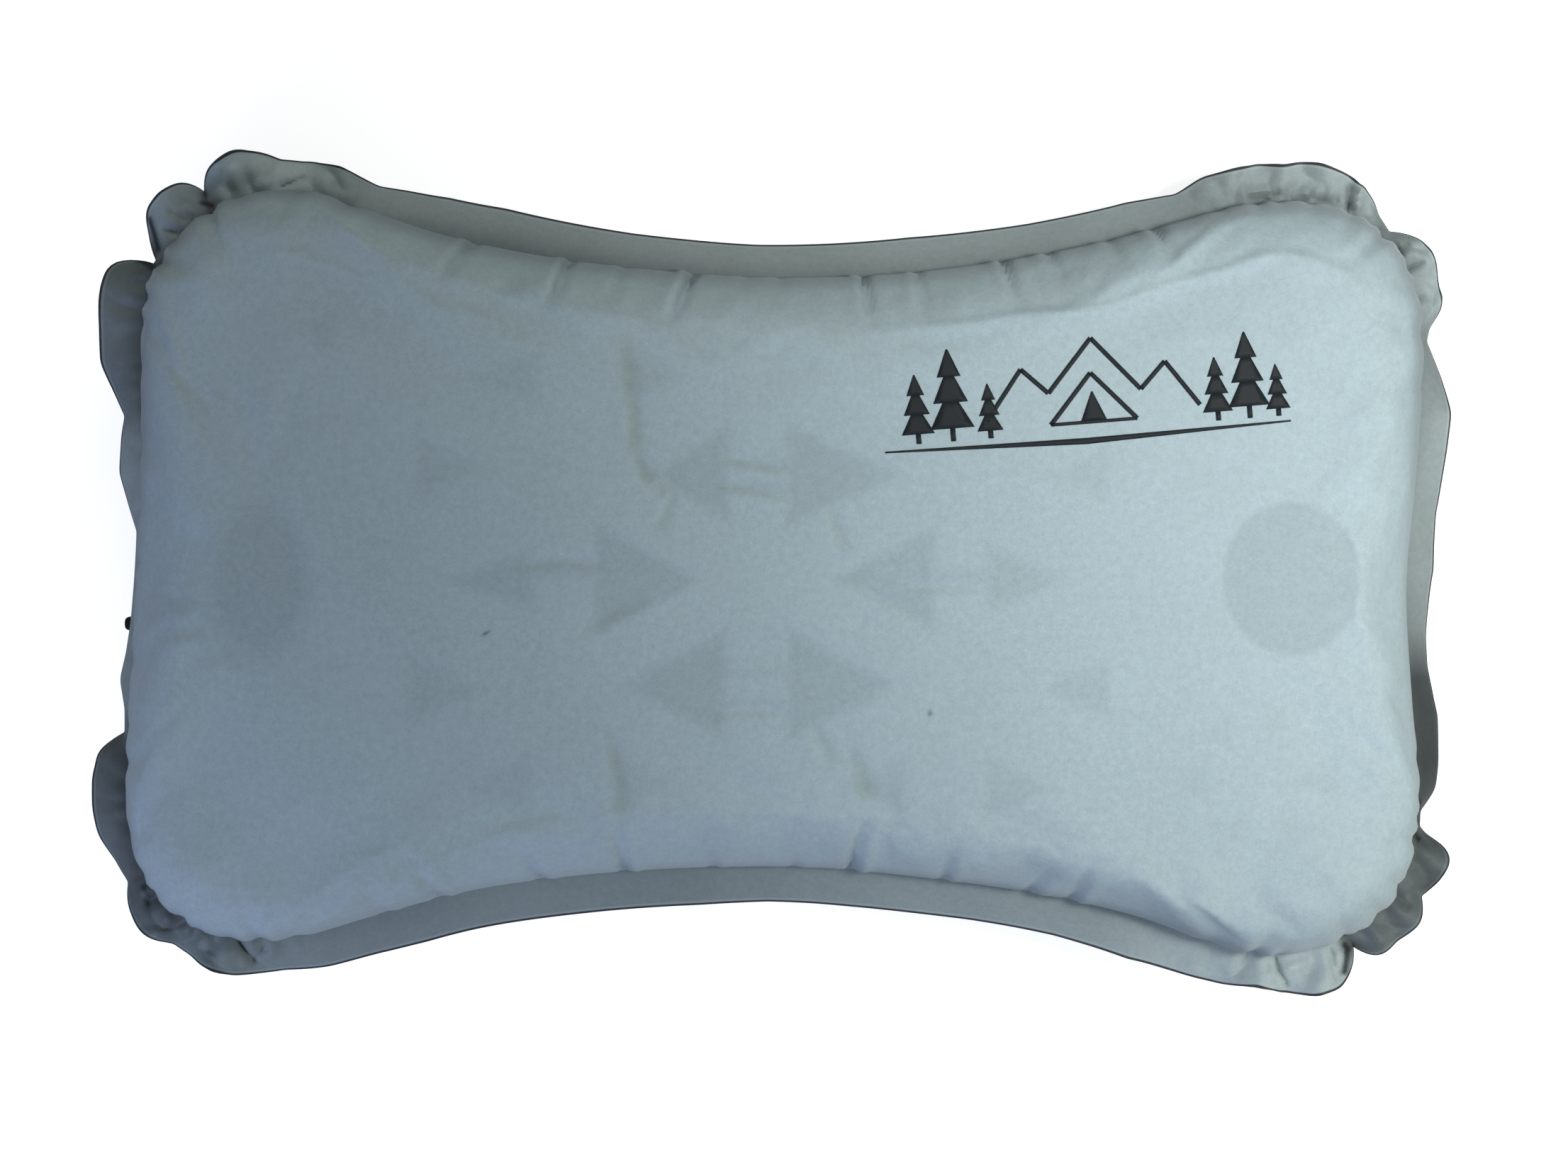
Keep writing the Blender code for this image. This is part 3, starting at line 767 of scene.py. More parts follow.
# Sharp pleats in the corners of the flange, and bumps where the depth is below 0, as the creases
# are listed
PLEATS = (
    # top left corner
    (-173, 135.6, -163.5, 140, 1.7, 0.9), (-182, 136, -176, 137.5, -1, 1.5),
    (-189, 131.5, -183.5, 134, -0.9, 1.4), (-186.6, 134.6, -189.9, 144.1, -1, 1.6),
    (-207, 124, -213, 128, 1.3, 1.2), (-209, 120.5, -215, 121, 1.2, 1.2),
    (-203.5, 127, -208, 129, -0.9, 1), (-220, 106, -227, 103, -1, 1.5),
    (-158, 135, -146, 131, -0.7, 1.6),
    # top right corner
    (168, 134, 176, 135, -2, 1.2), (174, 131.8, 180, 134.5, 2.3, 0.9),
    (183.5, 132.8, 190, 134.4, -2, 1.2), (187, 131, 191.5, 134, 2.2, 0.9),
    (190, 133, 195, 136, -1.7, 1.1), (192, 131.5, 201, 131, 1.7, 0.8),
    (203.8, 127.5, 204.6, 137.5, 4, 1.1), (207.9, 128.4, 206.1, 134.6, -1.9, 1.3),
    (219, 110, 226, 117, 3.4, 1.2), (223, 113, 229, 118, -2, 1.5), (224.5, 107, 231, 110, 2.3, 1),
    (227, 98, 235, 96, 1.7, 2.2), (160, 131, 157, 139, 1.2, 1.8), (150, 128.5, 147, 136, 0.9, 2),
    # bottom right corner
    (178, -135.5, 179.4, -141.6, 2.2, 0.9), (179, -140.6, 183, -146.5, 1.8, 0.9),
    (168.9, -134.6, 163.4, -143.6, 1.3, 1.4), (182, -139.5, 192, -136.5, -1.3, 1.3),
    (197.3, -133, 199.5, -144.5, 2, 1), (219, -113, 226, -119, 1.4, 1.2),
    (210, -124, 216, -131, -1.2, 1.4), (156, -133, 152, -141, 0.7, 1.8),
    # bottom left corner
    (-188.6, -129.4, -182.6, -137.1, 2, 1), (-183.4, -137.6, -177.6, -131, 1.6, 1),
    (-195, -129, -198, -135, 1.2, 1.8), (-215.5, -113.5, -221, -116.5, 1.3, 1.6),
    (-215.5, -126, -205, -122.5, 1.5, 1.1), (-221, -108, -226.5, -110, -0.9, 1.2),
    (-212, -121, -217, -130, -1, 1.5), (-190, -133, -193, -140, -0.8, 1.8),
)

# Where the flange curls over: in part its black back cloth showing, and painted shade in the deep
# pockets of its folds; as the creases are listed
TURNED_AND_POCKET_SHADE = (
    # top left corner
    (-219.4, 126, -215.3, 112, 1.2, 0.9), (-225.4, 111, -216.6, 107.2, 1.2, 1),
    (-201.8, 130.4, -195.4, 129, 1, 0.9),
    # top right corner
    (220.6, 116.2, 222.4, 110.6, 0.7, 1), (203.4, 127, 204.4, 131.5, 0.6, 0.9),
    # bottom right corner
    (201.4, -130.4, 204, -134, 1.2, 1.2), (203.4, -133, 201.9, -143, 1.1, 1.2),
    (225.8, -91.2, 229.2, -95.2, 1.1, 0.8), (228.4, -83.8, 227.8, -79, 0.9, 0.8),
    # bottom left corner
    (-221.6, -110.2, -218, -116.2, 0.7, 0.9),
)

# Corners of the flange, where it is crumpled: (first and last place along the weld, strength)
CRUMPLED = ((90, 200, 1), (500, 610, 0.9), (790, 860, 0.9), (1195, 1300, 1), (610, 790, 0.35))
# How far from its ends, inwards and outwards, a crumpled stretch fades
CRUMPLED_FADE = (-12.0, 4.0)
CRUMPLE_HEIGHT = 0.7
FOLD_HEIGHT = 1.6
FLUTTER_HEIGHT = 0.3
# Where across the flange the crumples and the folds are highest, and their half widths there
CRUMPLE_AT = (0.28, 0.22)
FOLD_AT = (0.55, 0.38)
# How far a lobe's flank leans for each unit of slope, the most it leans, and how late it sets in
LOBE_LEAN = 1.3
LOBE_LEAN_MOST = 3.2
LOBE_LEAN_POWER = 1.5


def crumple_strength(weld, places):
    """The listed strength in the crumpled corners and 0 elsewhere, with soft ends."""
    strength = np.zeros_like(places)
    for first, last, strong in CRUMPLED:
        past_end = np.abs(weld.distance(places, (first + last) / 2)) - (last - first) / 2
        strength = np.maximum(strength, strong * (1 - ease(*CRUMPLED_FADE, past_end)))
    return strength


def crumple_height(places, share):
    """Height of the crumples at a share of the flange's width: a short wave whose length
    wanders, plus two crossing sets of folds, absolute values of sines less their mean. Each of
    the two is weighed by a bell over the share."""
    wave = np.sin(places / 1.4 + 1.6 * np.sin(places / 11.0) + 0.9 * np.sin(places / 4.1))
    drift = 1.4 * np.sin(places / 9.3) + 0.8 * np.sin(places / 23.0)
    folds = np.abs(np.sin(places / 6.3 + 1.9 * share + drift))
    folds += np.abs(np.sin(places / 8.1 - 2.4 * share - drift)) - 1.27
    wave_at, wave_half_width = CRUMPLE_AT
    folds_at, folds_half_width = FOLD_AT
    return (CRUMPLE_HEIGHT * wave * bell(share - wave_at, wave_half_width)
            + FOLD_HEIGHT * folds * bell(share - folds_at, folds_half_width))


def flange_surface(weld, places, shares):
    """Points of the flange over a place along the weld and a share of its width. It leaves the
    weld level from a little inside the body; its reach grows evenly and its rise with a power
    of the share. The flanks of its lobes lean over the notches between them, against the slope
    of the edge. A slow flutter grows towards the edge, the corners are crumpled, and the pleats
    are pushed in last."""
    reach, rise = flange_edge(weld, places)
    edge = weld.points(places)
    normal = weld.normals(places)
    height = weld.height(places)
    step = weld.length / len(places)
    slope = (np.roll(reach, -2) - np.roll(reach, 2)) / (4 * step)
    lean = -LOBE_LEAN_MOST * np.tanh(LOBE_LEAN * slope / LOBE_LEAN_MOST)
    along = np.column_stack([-normal[:, 1], normal[:, 0]])
    crumpled = crumple_strength(weld, places)
    flutter = FLUTTER_HEIGHT * np.sin(places / 5.3 + 2.1 * np.sin(places / 31.0))
    rows = []
    for share in shares:
        out = np.maximum(reach, FLANGE_LEAST_REACH) * share - FLANGE_TUCK * (1 - share) ** 5
        plan = edge + normal * out[:, None] + along * (lean * share**LOBE_LEAN_POWER)[:, None]
        z = height + rise * share**FLANGE_BEND + flutter * share**2
        z += crumpled * crumple_height(places, share) - trough(*plan.T, PLEATS, *PLEAT_FADES)
        rows.append(np.column_stack([plan, z]))
    return np.vstack(rows)


def flange_painted_light_and_shade(weld, places, shares):
    """The listed painted light and shade, times 1 less the listed painted shadow at the weld times
    the square of the way back to the weld."""
    at, painted_lights_and_shades, painted_weld_shadows = np.array(FLANGE_PAINTED_LIGHT_AND_SHADE).T
    painted_light_and_shade = np.interp(places, at, painted_lights_and_shades, period=weld.length)
    painted_weld_shadow = np.interp(places, at, painted_weld_shadows, period=weld.length)
    to_weld = 1 - shares[:, None]
    return (painted_light_and_shade * (1 - painted_weld_shadow * to_weld**2)).ravel()


def build_flange(weld, cloth, back_cloth):
    """The welded margin: a band of two layers, black on the back and at the cut edge."""
    places = np.linspace(0, weld.length, FLANGE_COLUMNS, endpoint=False)
    shares = np.linspace(0, 1, FLANGE_ROWS)
    points = flange_surface(weld, places, shares)
    column = np.arange(FLANGE_COLUMNS)
    band = band_between(column, column + FLANGE_COLUMNS)[:, [0, 3, 2, 1]]
    faces = np.vstack([band + row * FLANGE_COLUMNS for row in range(FLANGE_ROWS - 1)]).tolist()
    flange = make_mesh("welded_flange", points, faces, [cloth, back_cloth])
    add_attribute(flange.data, "across", np.repeat(shares, FLANGE_COLUMNS))
    # painted light and shade on the flange, with painted shadow towards the weld
    add_attribute(flange.data, "painted_light_and_shade", flange_painted_light_and_shade(weld, places, shares))
    # black back cloth and painted pocket shade where the flange curls over
    turned_and_pocket_shade = trough(*points[:, :2].T, TURNED_AND_POCKET_SHADE, *PLEAT_FADES)
    add_attribute(flange.data, "turned_and_pocket_shade", np.clip(turned_and_pocket_shade, 0, 1))
    wall = flange.modifiers.new("two layers", "SOLIDIFY")
    wall.thickness = FLANGE_THICKNESS * MM
    wall.offset = 0.0
    wall.material_offset = 1
    wall.material_offset_rim = 1
    apply_modifiers(flange)
    flange.data.shade_smooth()
    flange.data.set_sharp_from_angle(angle=math.radians(50))
    return flange


# ---------------------------------------------------------------- the valve

VALVE_SEGMENTS = 120
VALVE_TILT = math.radians(25)
VALVE_BELOW_WELD = 18.0
VALVE_INSIDE_WELD = 0.8
TAB_REACH = 3.2
TAB_HALF_ANGLE = 0.42
CAP_RIBS = 20

# (place along the axis, radius, share of the grip tab, depth of the ribs)
VALVE_PROFILE = (
    (0, 0, 0, 0), (0, 2.6, 0, 0), (0.15, 3, 0, 0), (0.4, 3.3, 0, 0), (1.7, 3.3, 0, 0),
    (1.85, 3.6, 0, 0), (1.95, 4.6, 0, 0), (2.1, 4.9, 0.7, 0), (2.4, 5, 1, 0), (3.9, 5, 1, 0),
    (4.2, 4.9, 0.7, 0), (4.4, 4.6, 0, 0), (4.5, 4.5, 0, 0), (4.9, 4.6, 0, 0.2), (6, 4.5, 0, 0.2),
    (8.4, 4.2, 0, 0.2), (8.9, 4, 0, 0), (9.8, 3.8, 0, 0), (10.3, 3.4, 0, 0), (10.7, 2.8, 0, 0),
    (10.8, 2.2, 0, 0), (10.8, 1.4, 0, 0), (9.8, 1.3, 0, 0), (9.8, 0, 0, 0),
)


def build_valve(weld, plastic):
    """The valve, as if turned on a lathe: at each place along its axis the profile's radius,
    less the ribs of the cap, a cosine of the angle, plus the tab, a flat-topped bell of the
    angle from the outer side."""
    angle = np.linspace(0, 2 * math.pi, VALVE_SEGMENTS, endpoint=False)
    turn = (angle + math.pi) % (2 * math.pi) - math.pi
    tab = TAB_REACH * np.exp(-((turn / TAB_HALF_ANGLE) ** 4))
    ribs = 0.5 + 0.5 * np.cos(angle * CAP_RIBS)
    foot = weld.points(np.array([VALVE_PLACE]))[0]
    height = weld.height(np.array([VALVE_PLACE]))[0]
    base = np.array([foot[0] + VALVE_INSIDE_WELD, foot[1], height - VALVE_BELOW_WELD])
    out = np.array([-math.cos(VALVE_TILT), 0, -math.sin(VALVE_TILT)])
    axis = np.array([math.sin(VALVE_TILT), 0, -math.cos(VALVE_TILT)])
    side = np.array([0.0, 1.0, 0.0])
    circle = out * np.cos(angle)[:, None] + side * np.sin(angle)[:, None]
    rings = [base + axis * place + circle * (radius + on_tab * tab - rib * ribs)[:, None]
             for place, radius, on_tab, rib in VALVE_PROFILE[1:-1]]
    ends = [base + axis * VALVE_PROFILE[0][0], base + axis * VALVE_PROFILE[-1][0]]
    count = VALVE_SEGMENTS
    segment = np.arange(count)
    after = np.roll(segment, -1)
    band = band_between(segment, segment + count)
    faces = np.vstack([band + row * count for row in range(len(rings) - 1)]).tolist()
    last = (len(rings) - 1) * count
    first_pole = np.full(count, len(rings) * count)
    faces += np.stack([after, segment, first_pole], axis=1).tolist()
    faces += np.stack([segment + last, after + last, first_pole + 1], axis=1).tolist()
    valve = make_mesh("twist_valve", np.vstack(rings + [np.array(ends)]), faces, [plastic])
    valve.data.set_sharp_from_angle(angle=math.radians(35))
    return valve


# ---------------------------------------------------------------- the printed motif

MOTIF_CENTRE = (108.0, 64.0)
MOTIF_TILT = math.radians(4.5)
INK_THICKNESS = 0.06
INK_ABOVE_CLOTH = 0.08
# Length of the strips' faces, so that they follow the cloth
INK_STEP = 1.6
STROKE_HALF_WIDTH = 0.8
TRUNK_HALF_WIDTH = 0.9
TENT_FOOT_HALF_WIDTH = 0.6
# The motif about its own middle: corners of the hills, the trees (x, height) and their foot line,
# the tent (x, foot, half length, height) with its door, and the ground line
HILLS = ((-34, -9), (-21, 8), (-12, -1), (4, 17), (20, -2), (29, 7), (40, -9))
PINES = ((-58, 24), (-46, 32), (-33, 19), (46, 22), (57, 30), (67, 18))
PINE_FOOT = -15
TENT = (3, -12, 15, 17)
# The tent's door: foot above the tent's, top as a share of the height, half width at the foot as
# a share of the tent's, and half width at the top
TENT_DOOR = (0.5, 0.62, 0.30, 0.25)
GROUND = ((-70, -17), (0, -18.5), (71, -17))
GROUND_HALF_WIDTHS = (0.3, 1.1, 0.3)
# Tiers of a tree, as shares of its height: (foot, top, half width at the foot, at the top)
PINE_TIERS = ((0.14, 0.42, 0.24, 0.09), (0.42, 0.70, 0.19, 0.06), (0.70, 1.0, 0.13, 0.01))


def blade(points, half_widths, across=4):
    """A flat strip: the path runs straight through the points, and at each place it spreads to
    both sides, square to the path, by the half width worked out between the given ones."""
    path = np.array(points, dtype=float)
    lengths = np.linalg.norm(np.diff(path, axis=0), axis=1)
    places = np.concatenate([[0.0], np.cumsum(lengths)])
    count = max(2, int(places[-1] / INK_STEP) + 1)
    at = np.linspace(0, places[-1], count)
    middle = np.column_stack([np.interp(at, places, path[:, k]) for k in range(2)])
    half = np.interp(at, places, half_widths)
    along = np.gradient(middle, axis=0)
    along /= np.linalg.norm(along, axis=1)[:, None]
    normal = np.column_stack([-along[:, 1], along[:, 0]])
    spread = np.linspace(-1, 1, across + 1)
    grid = middle[:, None] + normal[:, None] * (half[:, None] * spread[None, :])[..., None]
    a = (np.arange(count - 1)[:, None] * (across + 1) + np.arange(across)[None, :]).ravel()
    quads = np.stack([a, a + across + 1, a + across + 2, a + 1], axis=1)
    return grid.reshape(-1, 2), quads[:, ::-1]


def stroke(start, end, half_width=STROKE_HALF_WIDTH):
    """A straight strip of one width."""
    return blade([start, end], [half_width, half_width], across=2)


def pine(x, height):
    """A trunk and three tiers, each tier a blade that narrows upwards."""
    tiers = [blade([(x, PINE_FOOT + height * low), (x, PINE_FOOT + height * high)],
                   [height * wide, height * narrow])
             for low, high, wide, narrow in PINE_TIERS]
    trunk_top = PINE_FOOT + height * PINE_TIERS[0][0]
    return tiers + [stroke((x, PINE_FOOT), (x, trunk_top), TRUNK_HALF_WIDTH)]


def tent(x, foot, half_length, height):
    """A ridge tent seen from its end: two sloping sides, an open door and a ground line."""
    top = (x, foot + height)
    left = (x - half_length, foot)
    right = (x + half_length, foot)
    above, share_up, share_wide, narrow = TENT_DOOR
    door = blade([(x, foot + above), (x, foot + height * share_up)],
                 [half_length * share_wide, narrow])
    return [stroke(left, top), stroke(right, top), door, stroke(left, right, TENT_FOOT_HALF_WIDTH)]


def build_motif(body, ink):
    """Trees, a tent and hills on a ground line, laid flat over the face and dropped onto it."""
    strips = [stroke(start, end) for start, end in zip(HILLS, HILLS[1:])]
    for x, height in PINES:
        strips += pine(x, height)
    strips += tent(*TENT)
    strips += [blade(GROUND, GROUND_HALF_WIDTHS, across=2)]
    points = []
    faces = []
    total = 0
    for grid, quads in strips:
        points.append(grid)
        faces.append(quads + total)
        total += len(grid)
    flat = np.vstack(points)
    turn = np.array([[math.cos(MOTIF_TILT), math.sin(MOTIF_TILT)],
                     [-math.sin(MOTIF_TILT), math.cos(MOTIF_TILT)]])
    plan = flat @ turn + MOTIF_CENTRE
    above = np.column_stack([plan, np.full(len(plan), FACE_TOP + 20)])
    motif = make_mesh("printed_motif", above, np.vstack(faces).tolist(), [ink])
    drop = motif.modifiers.new("drop", "SHRINKWRAP")
    drop.wrap_method = "PROJECT"
    drop.use_project_z = True
    drop.use_positive_direction = False
    drop.use_negative_direction = True
    drop.target = body
    drop.offset = INK_ABOVE_CLOTH * MM
    wall = motif.modifiers.new("ink", "SOLIDIFY")
    wall.thickness = INK_THICKNESS * MM
    wall.offset = 0.0
    apply_modifiers(motif)
    return motif


# ---------------------------------------------------------------- materials


def add_node(tree, kind, **settings):
    node = tree.nodes.new(kind)
    for key, value in settings.items():
        setattr(node, key, value)
    return node


def set_inputs(node, values):
    for key, value in values.items():
        node.inputs[key].default_value = value


# Layers of the cloth's grain, finest first: (name, scale of the noise, its detail)
GRAIN_LAYERS = (("Nap", 1500.0, 2.0), ("Mottle", 420.0, 3.0), ("Clouds", 16.0, 2.0))
GRAIN_ROUGHNESS = 0.6
MOTTLE_RELIEF = 0.8


def cloth_grain_group():
    """Shared grain of the coated cloth. Its shade is 1 plus, for each layer of noise, the noise
    less a half times the layer's named amount; its height is the nap plus a share of the mottle."""
    group = bpy.data.node_groups.new("cloth grain", "ShaderNodeTree")
    for name, _, _ in GRAIN_LAYERS:
        group.interface.new_socket(name, in_out="INPUT", socket_type="NodeSocketFloat")
    for name in ("Shade", "Height"):
        group.interface.new_socket(name, in_out="OUTPUT", socket_type="NodeSocketFloat")
    link = group.links.new
    inputs = add_node(group, "NodeGroupInput")
    outputs = add_node(group, "NodeGroupOutput")
    place = add_node(group, "ShaderNodeTexCoord")
    shade = None
    layers = {}
    for name, scale, detail in GRAIN_LAYERS:
        noise = add_node(group, "ShaderNodeTexNoise")
        set_inputs(noise, {"Scale": scale, "Detail": detail, "Roughness": GRAIN_ROUGHNESS})
        link(place.outputs["Object"], noise.inputs["Vector"])
        layers[name] = noise.outputs["Fac"]
        centred = add_node(group, "ShaderNodeMath", operation="SUBTRACT")
        link(noise.outputs["Fac"], centred.inputs[0])
        centred.inputs[1].default_value = 0.5
        weighed = add_node(group, "ShaderNodeMath", operation="MULTIPLY")
        link(centred.outputs[0], weighed.inputs[0])
        link(inputs.outputs[name], weighed.inputs[1])
        summed = add_node(group, "ShaderNodeMath", operation="ADD")
        link(weighed.outputs[0], summed.inputs[0])
        if shade is None:
            summed.inputs[1].default_value = 1.0
        else:
            link(shade, summed.inputs[1])
        shade = summed.outputs[0]
    height = add_node(group, "ShaderNodeMath", operation="MULTIPLY_ADD")
    link(layers["Mottle"], height.inputs[0])
    height.inputs[1].default_value = MOTTLE_RELIEF
    link(layers["Nap"], height.inputs[2])
    link(shade, outputs.inputs["Shade"])
    link(height.outputs[0], outputs.inputs["Height"])
    return group


def new_material(name, **values):
    material = bpy.data.materials.new(name)
    material.use_nodes = True
    shader = material.node_tree.nodes["Principled BSDF"]
    set_inputs(shader, values)
    return material, material.node_tree, shader


# Height of the finest bumps, in metres
BUMP_HEIGHT = 0.0002


def grained(name, grain, colour, nap, mottle, clouds, bump, values):
    """A material whose colour is multiplied by the shared grain, with a fine bump; returns what
    later steps need, the last of it the socket with the colour."""
    material, tree, shader = new_material(name, **values)
    link = tree.links.new
    speckle = add_node(tree, "ShaderNodeGroup", node_tree=grain)
    set_inputs(speckle, {"Nap": nap, "Mottle": mottle, "Clouds": clouds})
    shade = add_node(tree, "ShaderNodeMix", data_type="RGBA", blend_type="MULTIPLY")
    shade.inputs["Factor"].default_value = 1.0
    shade.inputs["A"].default_value = (*colour, 1.0)
    grey = add_node(tree, "ShaderNodeCombineColor")
    for channel in ("Red", "Green", "Blue"):
        link(speckle.outputs["Shade"], grey.inputs[channel])
    link(grey.outputs["Color"], shade.inputs["B"])
    link(shade.outputs["Result"], shader.inputs["Base Color"])
    relief = add_node(tree, "ShaderNodeBump")
    set_inputs(relief, {"Strength": bump, "Distance": BUMP_HEIGHT})
    link(speckle.outputs["Height"], relief.inputs["Height"])
    link(relief.outputs["Normal"], shader.inputs["Normal"])
    return material, tree, shader, shade.outputs["Result"]


def attribute(tree, name):
    return add_node(tree, "ShaderNodeAttribute", attribute_name=name).outputs["Fac"]


def product(tree, value, factor):
    """The value times a factor, a socket or a number, kept between 0 and 1."""
    node = add_node(tree, "ShaderNodeMath", operation="MULTIPLY", use_clamp=True)
    tree.links.new(value, node.inputs[0])
    if isinstance(factor, float):
        node.inputs[1].default_value = factor
    else:
        tree.links.new(factor, node.inputs[1])
    return node.outputs[0]


def smooth_step(tree, value, low, high, most):
    """0 below low, the most above high, and a smooth step between."""
    node = add_node(tree, "ShaderNodeMapRange", interpolation_type="SMOOTHSTEP")
    set_inputs(node, {"From Min": low, "From Max": high, "To Min": 0.0, "To Max": most})
    tree.links.new(value, node.inputs["Value"])
    return node.outputs["Result"]


def blend(tree, before, amount, colour, how="MIX"):
    """The colour before it, mixed with another or multiplied by it, as far as the amount says."""
    node = add_node(tree, "ShaderNodeMix", data_type="RGBA", blend_type=how)
    tree.links.new(amount, node.inputs["Factor"])
    tree.links.new(before, node.inputs["A"])
    node.inputs["B"].default_value = (*colour, 1.0)
    return node.outputs["Result"]


FACE_COLOUR = (0.400, 0.490, 0.500)
FLANGE_COLOUR = (0.305, 0.358, 0.345)
BACK_COLOUR = (0.030, 0.034, 0.037)
INK_COLOUR = (0.010, 0.014, 0.016)
PLASTIC_COLOUR = (0.011, 0.012, 0.013)
# painted highlight where the lit cut edge of the top fabric catches the light
PAINTED_RIM_HIGHLIGHT_COLOUR = (0.42, 0.48, 0.48)
CUT_EDGE_COLOUR = (0.035, 0.04, 0.042)
# black back cloth and painted shade in the pockets of the folds
TURNED_AND_POCKET_SHADE_TINT = (0.08, 0.085, 0.09)

# Shares of the flange's width where the painted highlight along the rim and the dark cut edge
# come in, and how much of the painted highlight's colour shows
PAINTED_RIM_HIGHLIGHT_FROM = (0.86, 0.91)
PAINTED_RIM_HIGHLIGHT_STRENGTH = 0.5
CUT_EDGE_FROM = (0.93, 0.955)

# What the face's colour is multiplied by where an attribute says so, the weld's entry being
# painted shade: (attribute, tint, strength)
FACE_TINTS = (
    ("foam_hole", (0.87, 0.875, 0.87), 1.0), ("stain", (0.86, 0.86, 0.78), 0.8),
    ("painted_weld_shade", (0.68, 0.68, 0.69), 1.0), ("speck", (0.25, 0.26, 0.26), 1.0),
)

NAP = {"Roughness": 0.82, "Sheen Weight": 0.25, "Sheen Roughness": 0.45, "Specular IOR Level": 0.25}
PRESSED = {"Roughness": 0.6, "Sheen Weight": 0.1, "Sheen Roughness": 0.5, "Specular IOR Level": 0.4}
MOULDED = {"Roughness": 0.38, "Specular IOR Level": 0.5}
PRINTED = {"Roughness": 0.62, "Specular IOR Level": 0.3}


def face_cloth(grain):
    material, tree, shader, colour = grained(
        "face cloth", grain, FACE_COLOUR, 0.30, 0.30, 0.10, 0.5, NAP)
    for name, tint, strength in FACE_TINTS:
        amount = product(tree, attribute(tree, name), strength)
        colour = blend(tree, colour, amount, tint, "MULTIPLY")
    tree.links.new(colour, shader.inputs["Base Color"])
    return material


def flange_cloth(grain):
    """The pressed margin, its colour scaled by painted light and shade, with a painted highlight
    along the rim inside its dark cut edge, and the black back cloth and painted pocket shade where
    it curls over.
    """
    material, tree, shader, colour = grained(
        "flange cloth", grain, FLANGE_COLOUR, 0.25, 0.3, 0.35, 0.5, PRESSED)
    across = attribute(tree, "across")
    # the flange's painted light and shade, which scales its colour
    painted_light_and_shade = attribute(tree, "painted_light_and_shade")
    painted_light_and_shade_node = add_node(tree, "ShaderNodeVectorMath", operation="SCALE")
    tree.links.new(colour, painted_light_and_shade_node.inputs[0])
    tree.links.new(painted_light_and_shade, painted_light_and_shade_node.inputs["Scale"])
    # painted highlight along the rim, scaled by the painted light and shade
    painted_rim_highlight = product(tree, smooth_step(tree, across, *PAINTED_RIM_HIGHLIGHT_FROM, PAINTED_RIM_HIGHLIGHT_STRENGTH), painted_light_and_shade)
    colour = blend(tree, painted_light_and_shade_node.outputs["Vector"], painted_rim_highlight, PAINTED_RIM_HIGHLIGHT_COLOUR)
    colour = blend(tree, colour, smooth_step(tree, across, *CUT_EDGE_FROM, 1.0), CUT_EDGE_COLOUR)
    # black back cloth and painted pocket shade where the flange curls over
    turned_and_pocket_shade = product(tree, attribute(tree, "turned_and_pocket_shade"), 1.0)
    colour = blend(tree, colour, turned_and_pocket_shade, TURNED_AND_POCKET_SHADE_TINT, "MULTIPLY")
    tree.links.new(colour, shader.inputs["Base Color"])
    return material


def back_cloth(grain):
    return grained("back cloth", grain, BACK_COLOUR, 0.3, 0.25, 0.1, 0.4, PRESSED)[0]


def moulded_plastic(grain):
    return grained("valve plastic", grain, PLASTIC_COLOUR, 0.1, 0.1, 0.0, 0.1, MOULDED)[0]


def printed_ink(grain):
    return grained("printed ink", grain, INK_COLOUR, 0.3, 0.3, 0.1, 0.3, PRINTED)[0]


# ---------------------------------------------------------------- stage

FLOOR_HALF = 3000.0
FLOOR_BELOW = 0.5
# Width of what the camera sees at the height of the weld, and its place above, in metres
VIEW_WIDTH = 0.553
CAMERA_PLACE = (0.0046, -0.0053, 2.4)
CAMERA_SENSOR = 36

# Soft lights, all square and aimed at the same place: (name, place, power, colour)
SOFT_LIGHTS = (
    ("cool light", (-0.58, -0.62, 0.5), 4.6, (0.62, 0.71, 1.0)),
    ("front light", (0.75, -0.25, 0.38), 2.5, (0.96, 1.0, 1.0)),
    ("back light", (-0.1, 0.8, 0.55), 2.4, (0.95, 0.99, 1.0)),
)
SOFT_LIGHT_SIZE = 0.5
SOFT_LIGHT_AIM = (0.03, 0.0, 0.05)
CEILING_LIGHT_PLACE = (0.46, 0.06, 1.2)
CEILING_LIGHT_AIM = (0.24, 0.045, 0.05)
CEILING_LIGHT_CONE = math.radians(33.0)
CEILING_LIGHT_RADIUS = 0.12
CEILING_LIGHT_POWER = 46.5
CEILING_LIGHT_COLOUR = (0.955, 0.98, 1.0)
SURROUNDINGS = {"Color": (0.90, 0.97, 1.0, 1.0), "Strength": 0.05}
# The floor as it's seen, its glow included, and as it lights the cloth
FLOOR_SEEN = (0.8, 0.8, 0.8, 1.0)
FLOOR_GLOW = 0.75
FLOOR_LIGHTING = (0.2, 0.2, 0.2, 1.0)


def pale_floor():
    """Pale as seen, and darker for the light that bounces off it onto the cloth."""
    material, tree, shader = new_material("pale floor", **{
        "Roughness": 0.9, "Emission Color": (1.0, 1.0, 1.0, 1.0)})
    link = tree.links.new
    path = add_node(tree, "ShaderNodeLightPath")
    colour = add_node(tree, "ShaderNodeMix", data_type="RGBA")
    set_inputs(colour, {"A": FLOOR_LIGHTING, "B": FLOOR_SEEN})
    glow = add_node(tree, "ShaderNodeMath", operation="MULTIPLY")
    glow.inputs[1].default_value = FLOOR_GLOW
    link(path.outputs["Is Camera Ray"], colour.inputs["Factor"])
    link(path.outputs["Is Camera Ray"], glow.inputs[0])
    link(colour.outputs["Result"], shader.inputs["Base Color"])
    link(glow.outputs[0], shader.inputs["Emission Strength"])
    return material


def put_in_scene(name, data, place):
    thing = bpy.data.objects.new(name, data)
    thing.location = place
    bpy.context.scene.collection.objects.link(thing)
    return thing


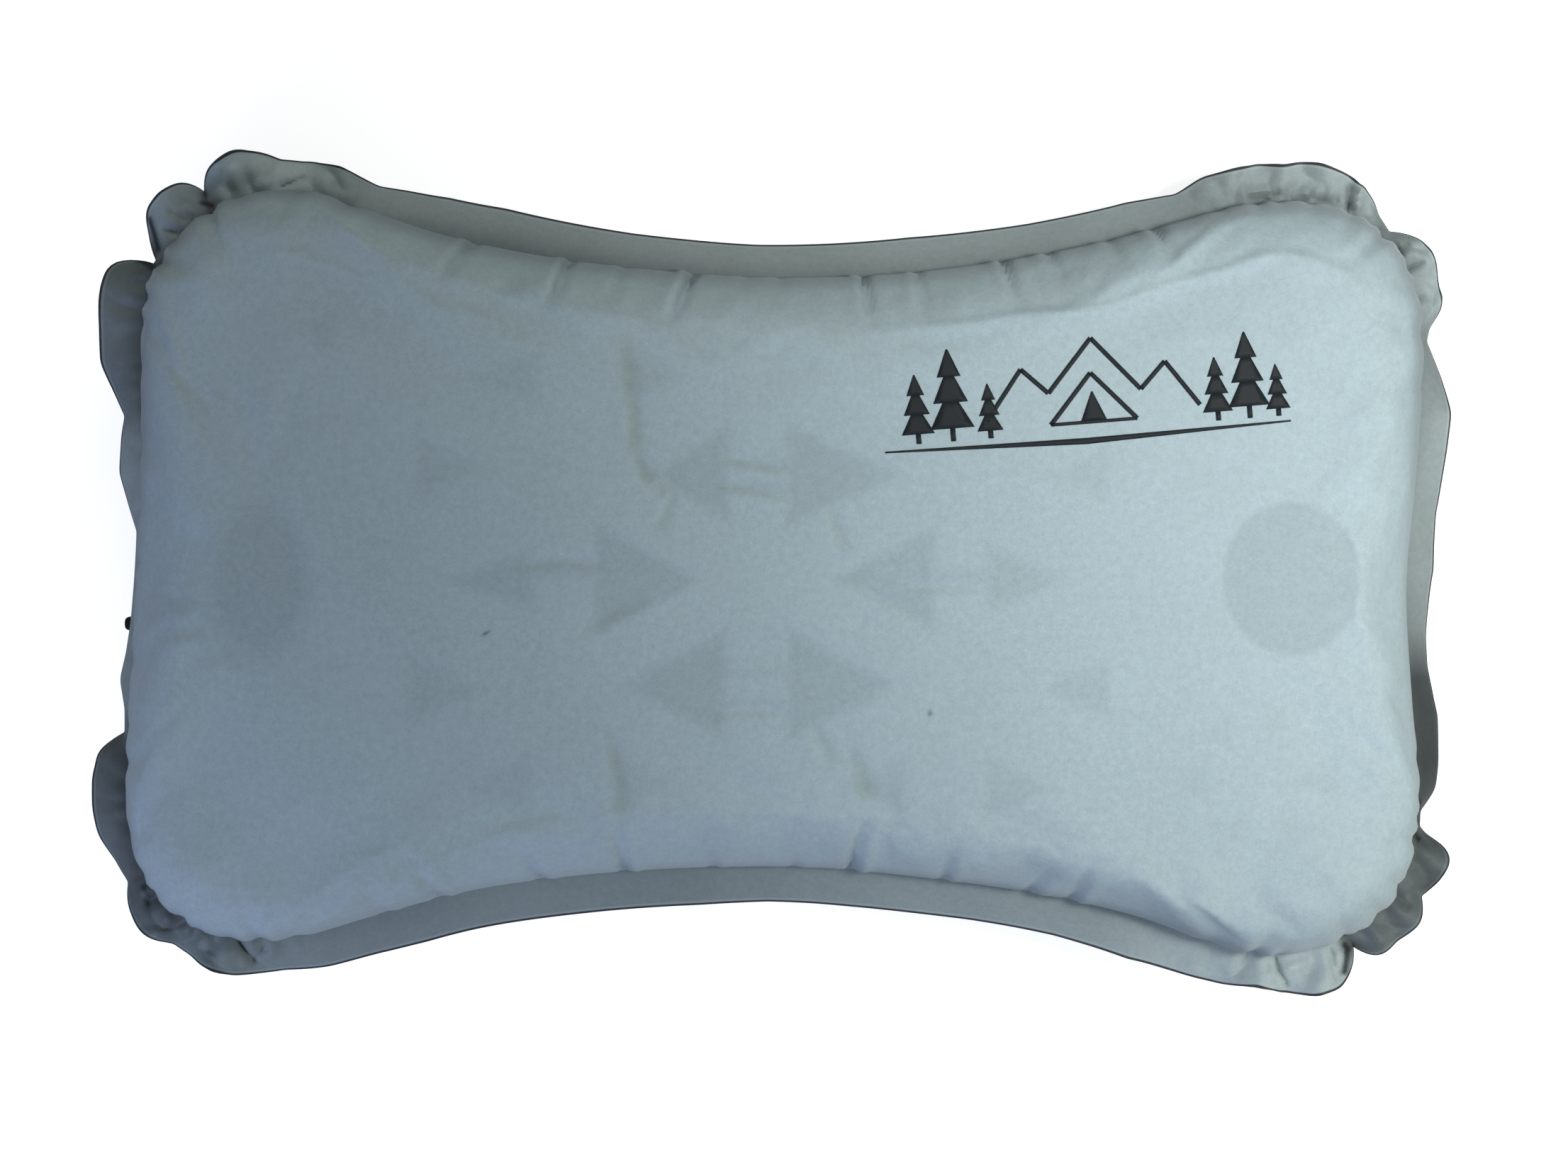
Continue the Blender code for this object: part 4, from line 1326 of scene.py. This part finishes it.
def hang_light(light, place, aim, power, colour):
    """Puts a light at its place, turned towards its aim."""
    light.energy = power
    light.color = colour
    lamp = put_in_scene(light.name, light, place)
    lamp.rotation_euler = (Vector(aim) - Vector(place)).to_track_quat("-Z", "Y").to_euler()


def build_stage():
    scene = bpy.context.scene
    scene.view_settings.view_transform = "Standard"
    corners = [(x * FLOOR_HALF, y * FLOOR_HALF, -FLOOR_BELOW)
               for x, y in ((-1, -1), (1, -1), (1, 1), (-1, 1))]
    make_mesh("floor", corners, [(0, 1, 2, 3)], [pale_floor()])

    lens = bpy.data.cameras.new("camera")
    lens.sensor_width = CAMERA_SENSOR
    lens.lens = CAMERA_SENSOR * (CAMERA_PLACE[2] - WELD_HEIGHT * MM) / VIEW_WIDTH
    scene.camera = put_in_scene("camera", lens, CAMERA_PLACE)

    for name, place, power, colour in SOFT_LIGHTS:
        light = bpy.data.lights.new(name, "AREA")
        light.size = SOFT_LIGHT_SIZE
        hang_light(light, place, SOFT_LIGHT_AIM, power, colour)
    ceiling = bpy.data.lights.new("ceiling light", "SPOT")
    ceiling.spot_size = CEILING_LIGHT_CONE
    ceiling.spot_blend = 1.0
    ceiling.shadow_soft_size = CEILING_LIGHT_RADIUS
    hang_light(ceiling, CEILING_LIGHT_PLACE, CEILING_LIGHT_AIM, CEILING_LIGHT_POWER,
               CEILING_LIGHT_COLOUR)

    world = bpy.data.worlds.new("soft surroundings")
    world.use_nodes = True
    sky = world.node_tree.nodes["Background"]
    set_inputs(sky, SURROUNDINGS)
    scene.world = world


# ---------------------------------------------------------------- making


def main():
    build_stage()
    grain = cloth_grain_group()
    face = face_cloth(grain)
    dark = back_cloth(grain)
    weld = Weld()

    body = build_body(weld, face, dark)
    swell_with_cloth(body)
    finish_body(body, weld)
    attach(body, ROOT)
    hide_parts("cushion")

    flange = build_flange(weld, flange_cloth(grain), dark)
    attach(flange, ROOT)
    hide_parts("flange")

    valve = build_valve(weld, moulded_plastic(grain))
    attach(valve, ROOT)
    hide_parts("valve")

    motif = build_motif(body, printed_ink(grain))
    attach(motif, ROOT)


main()
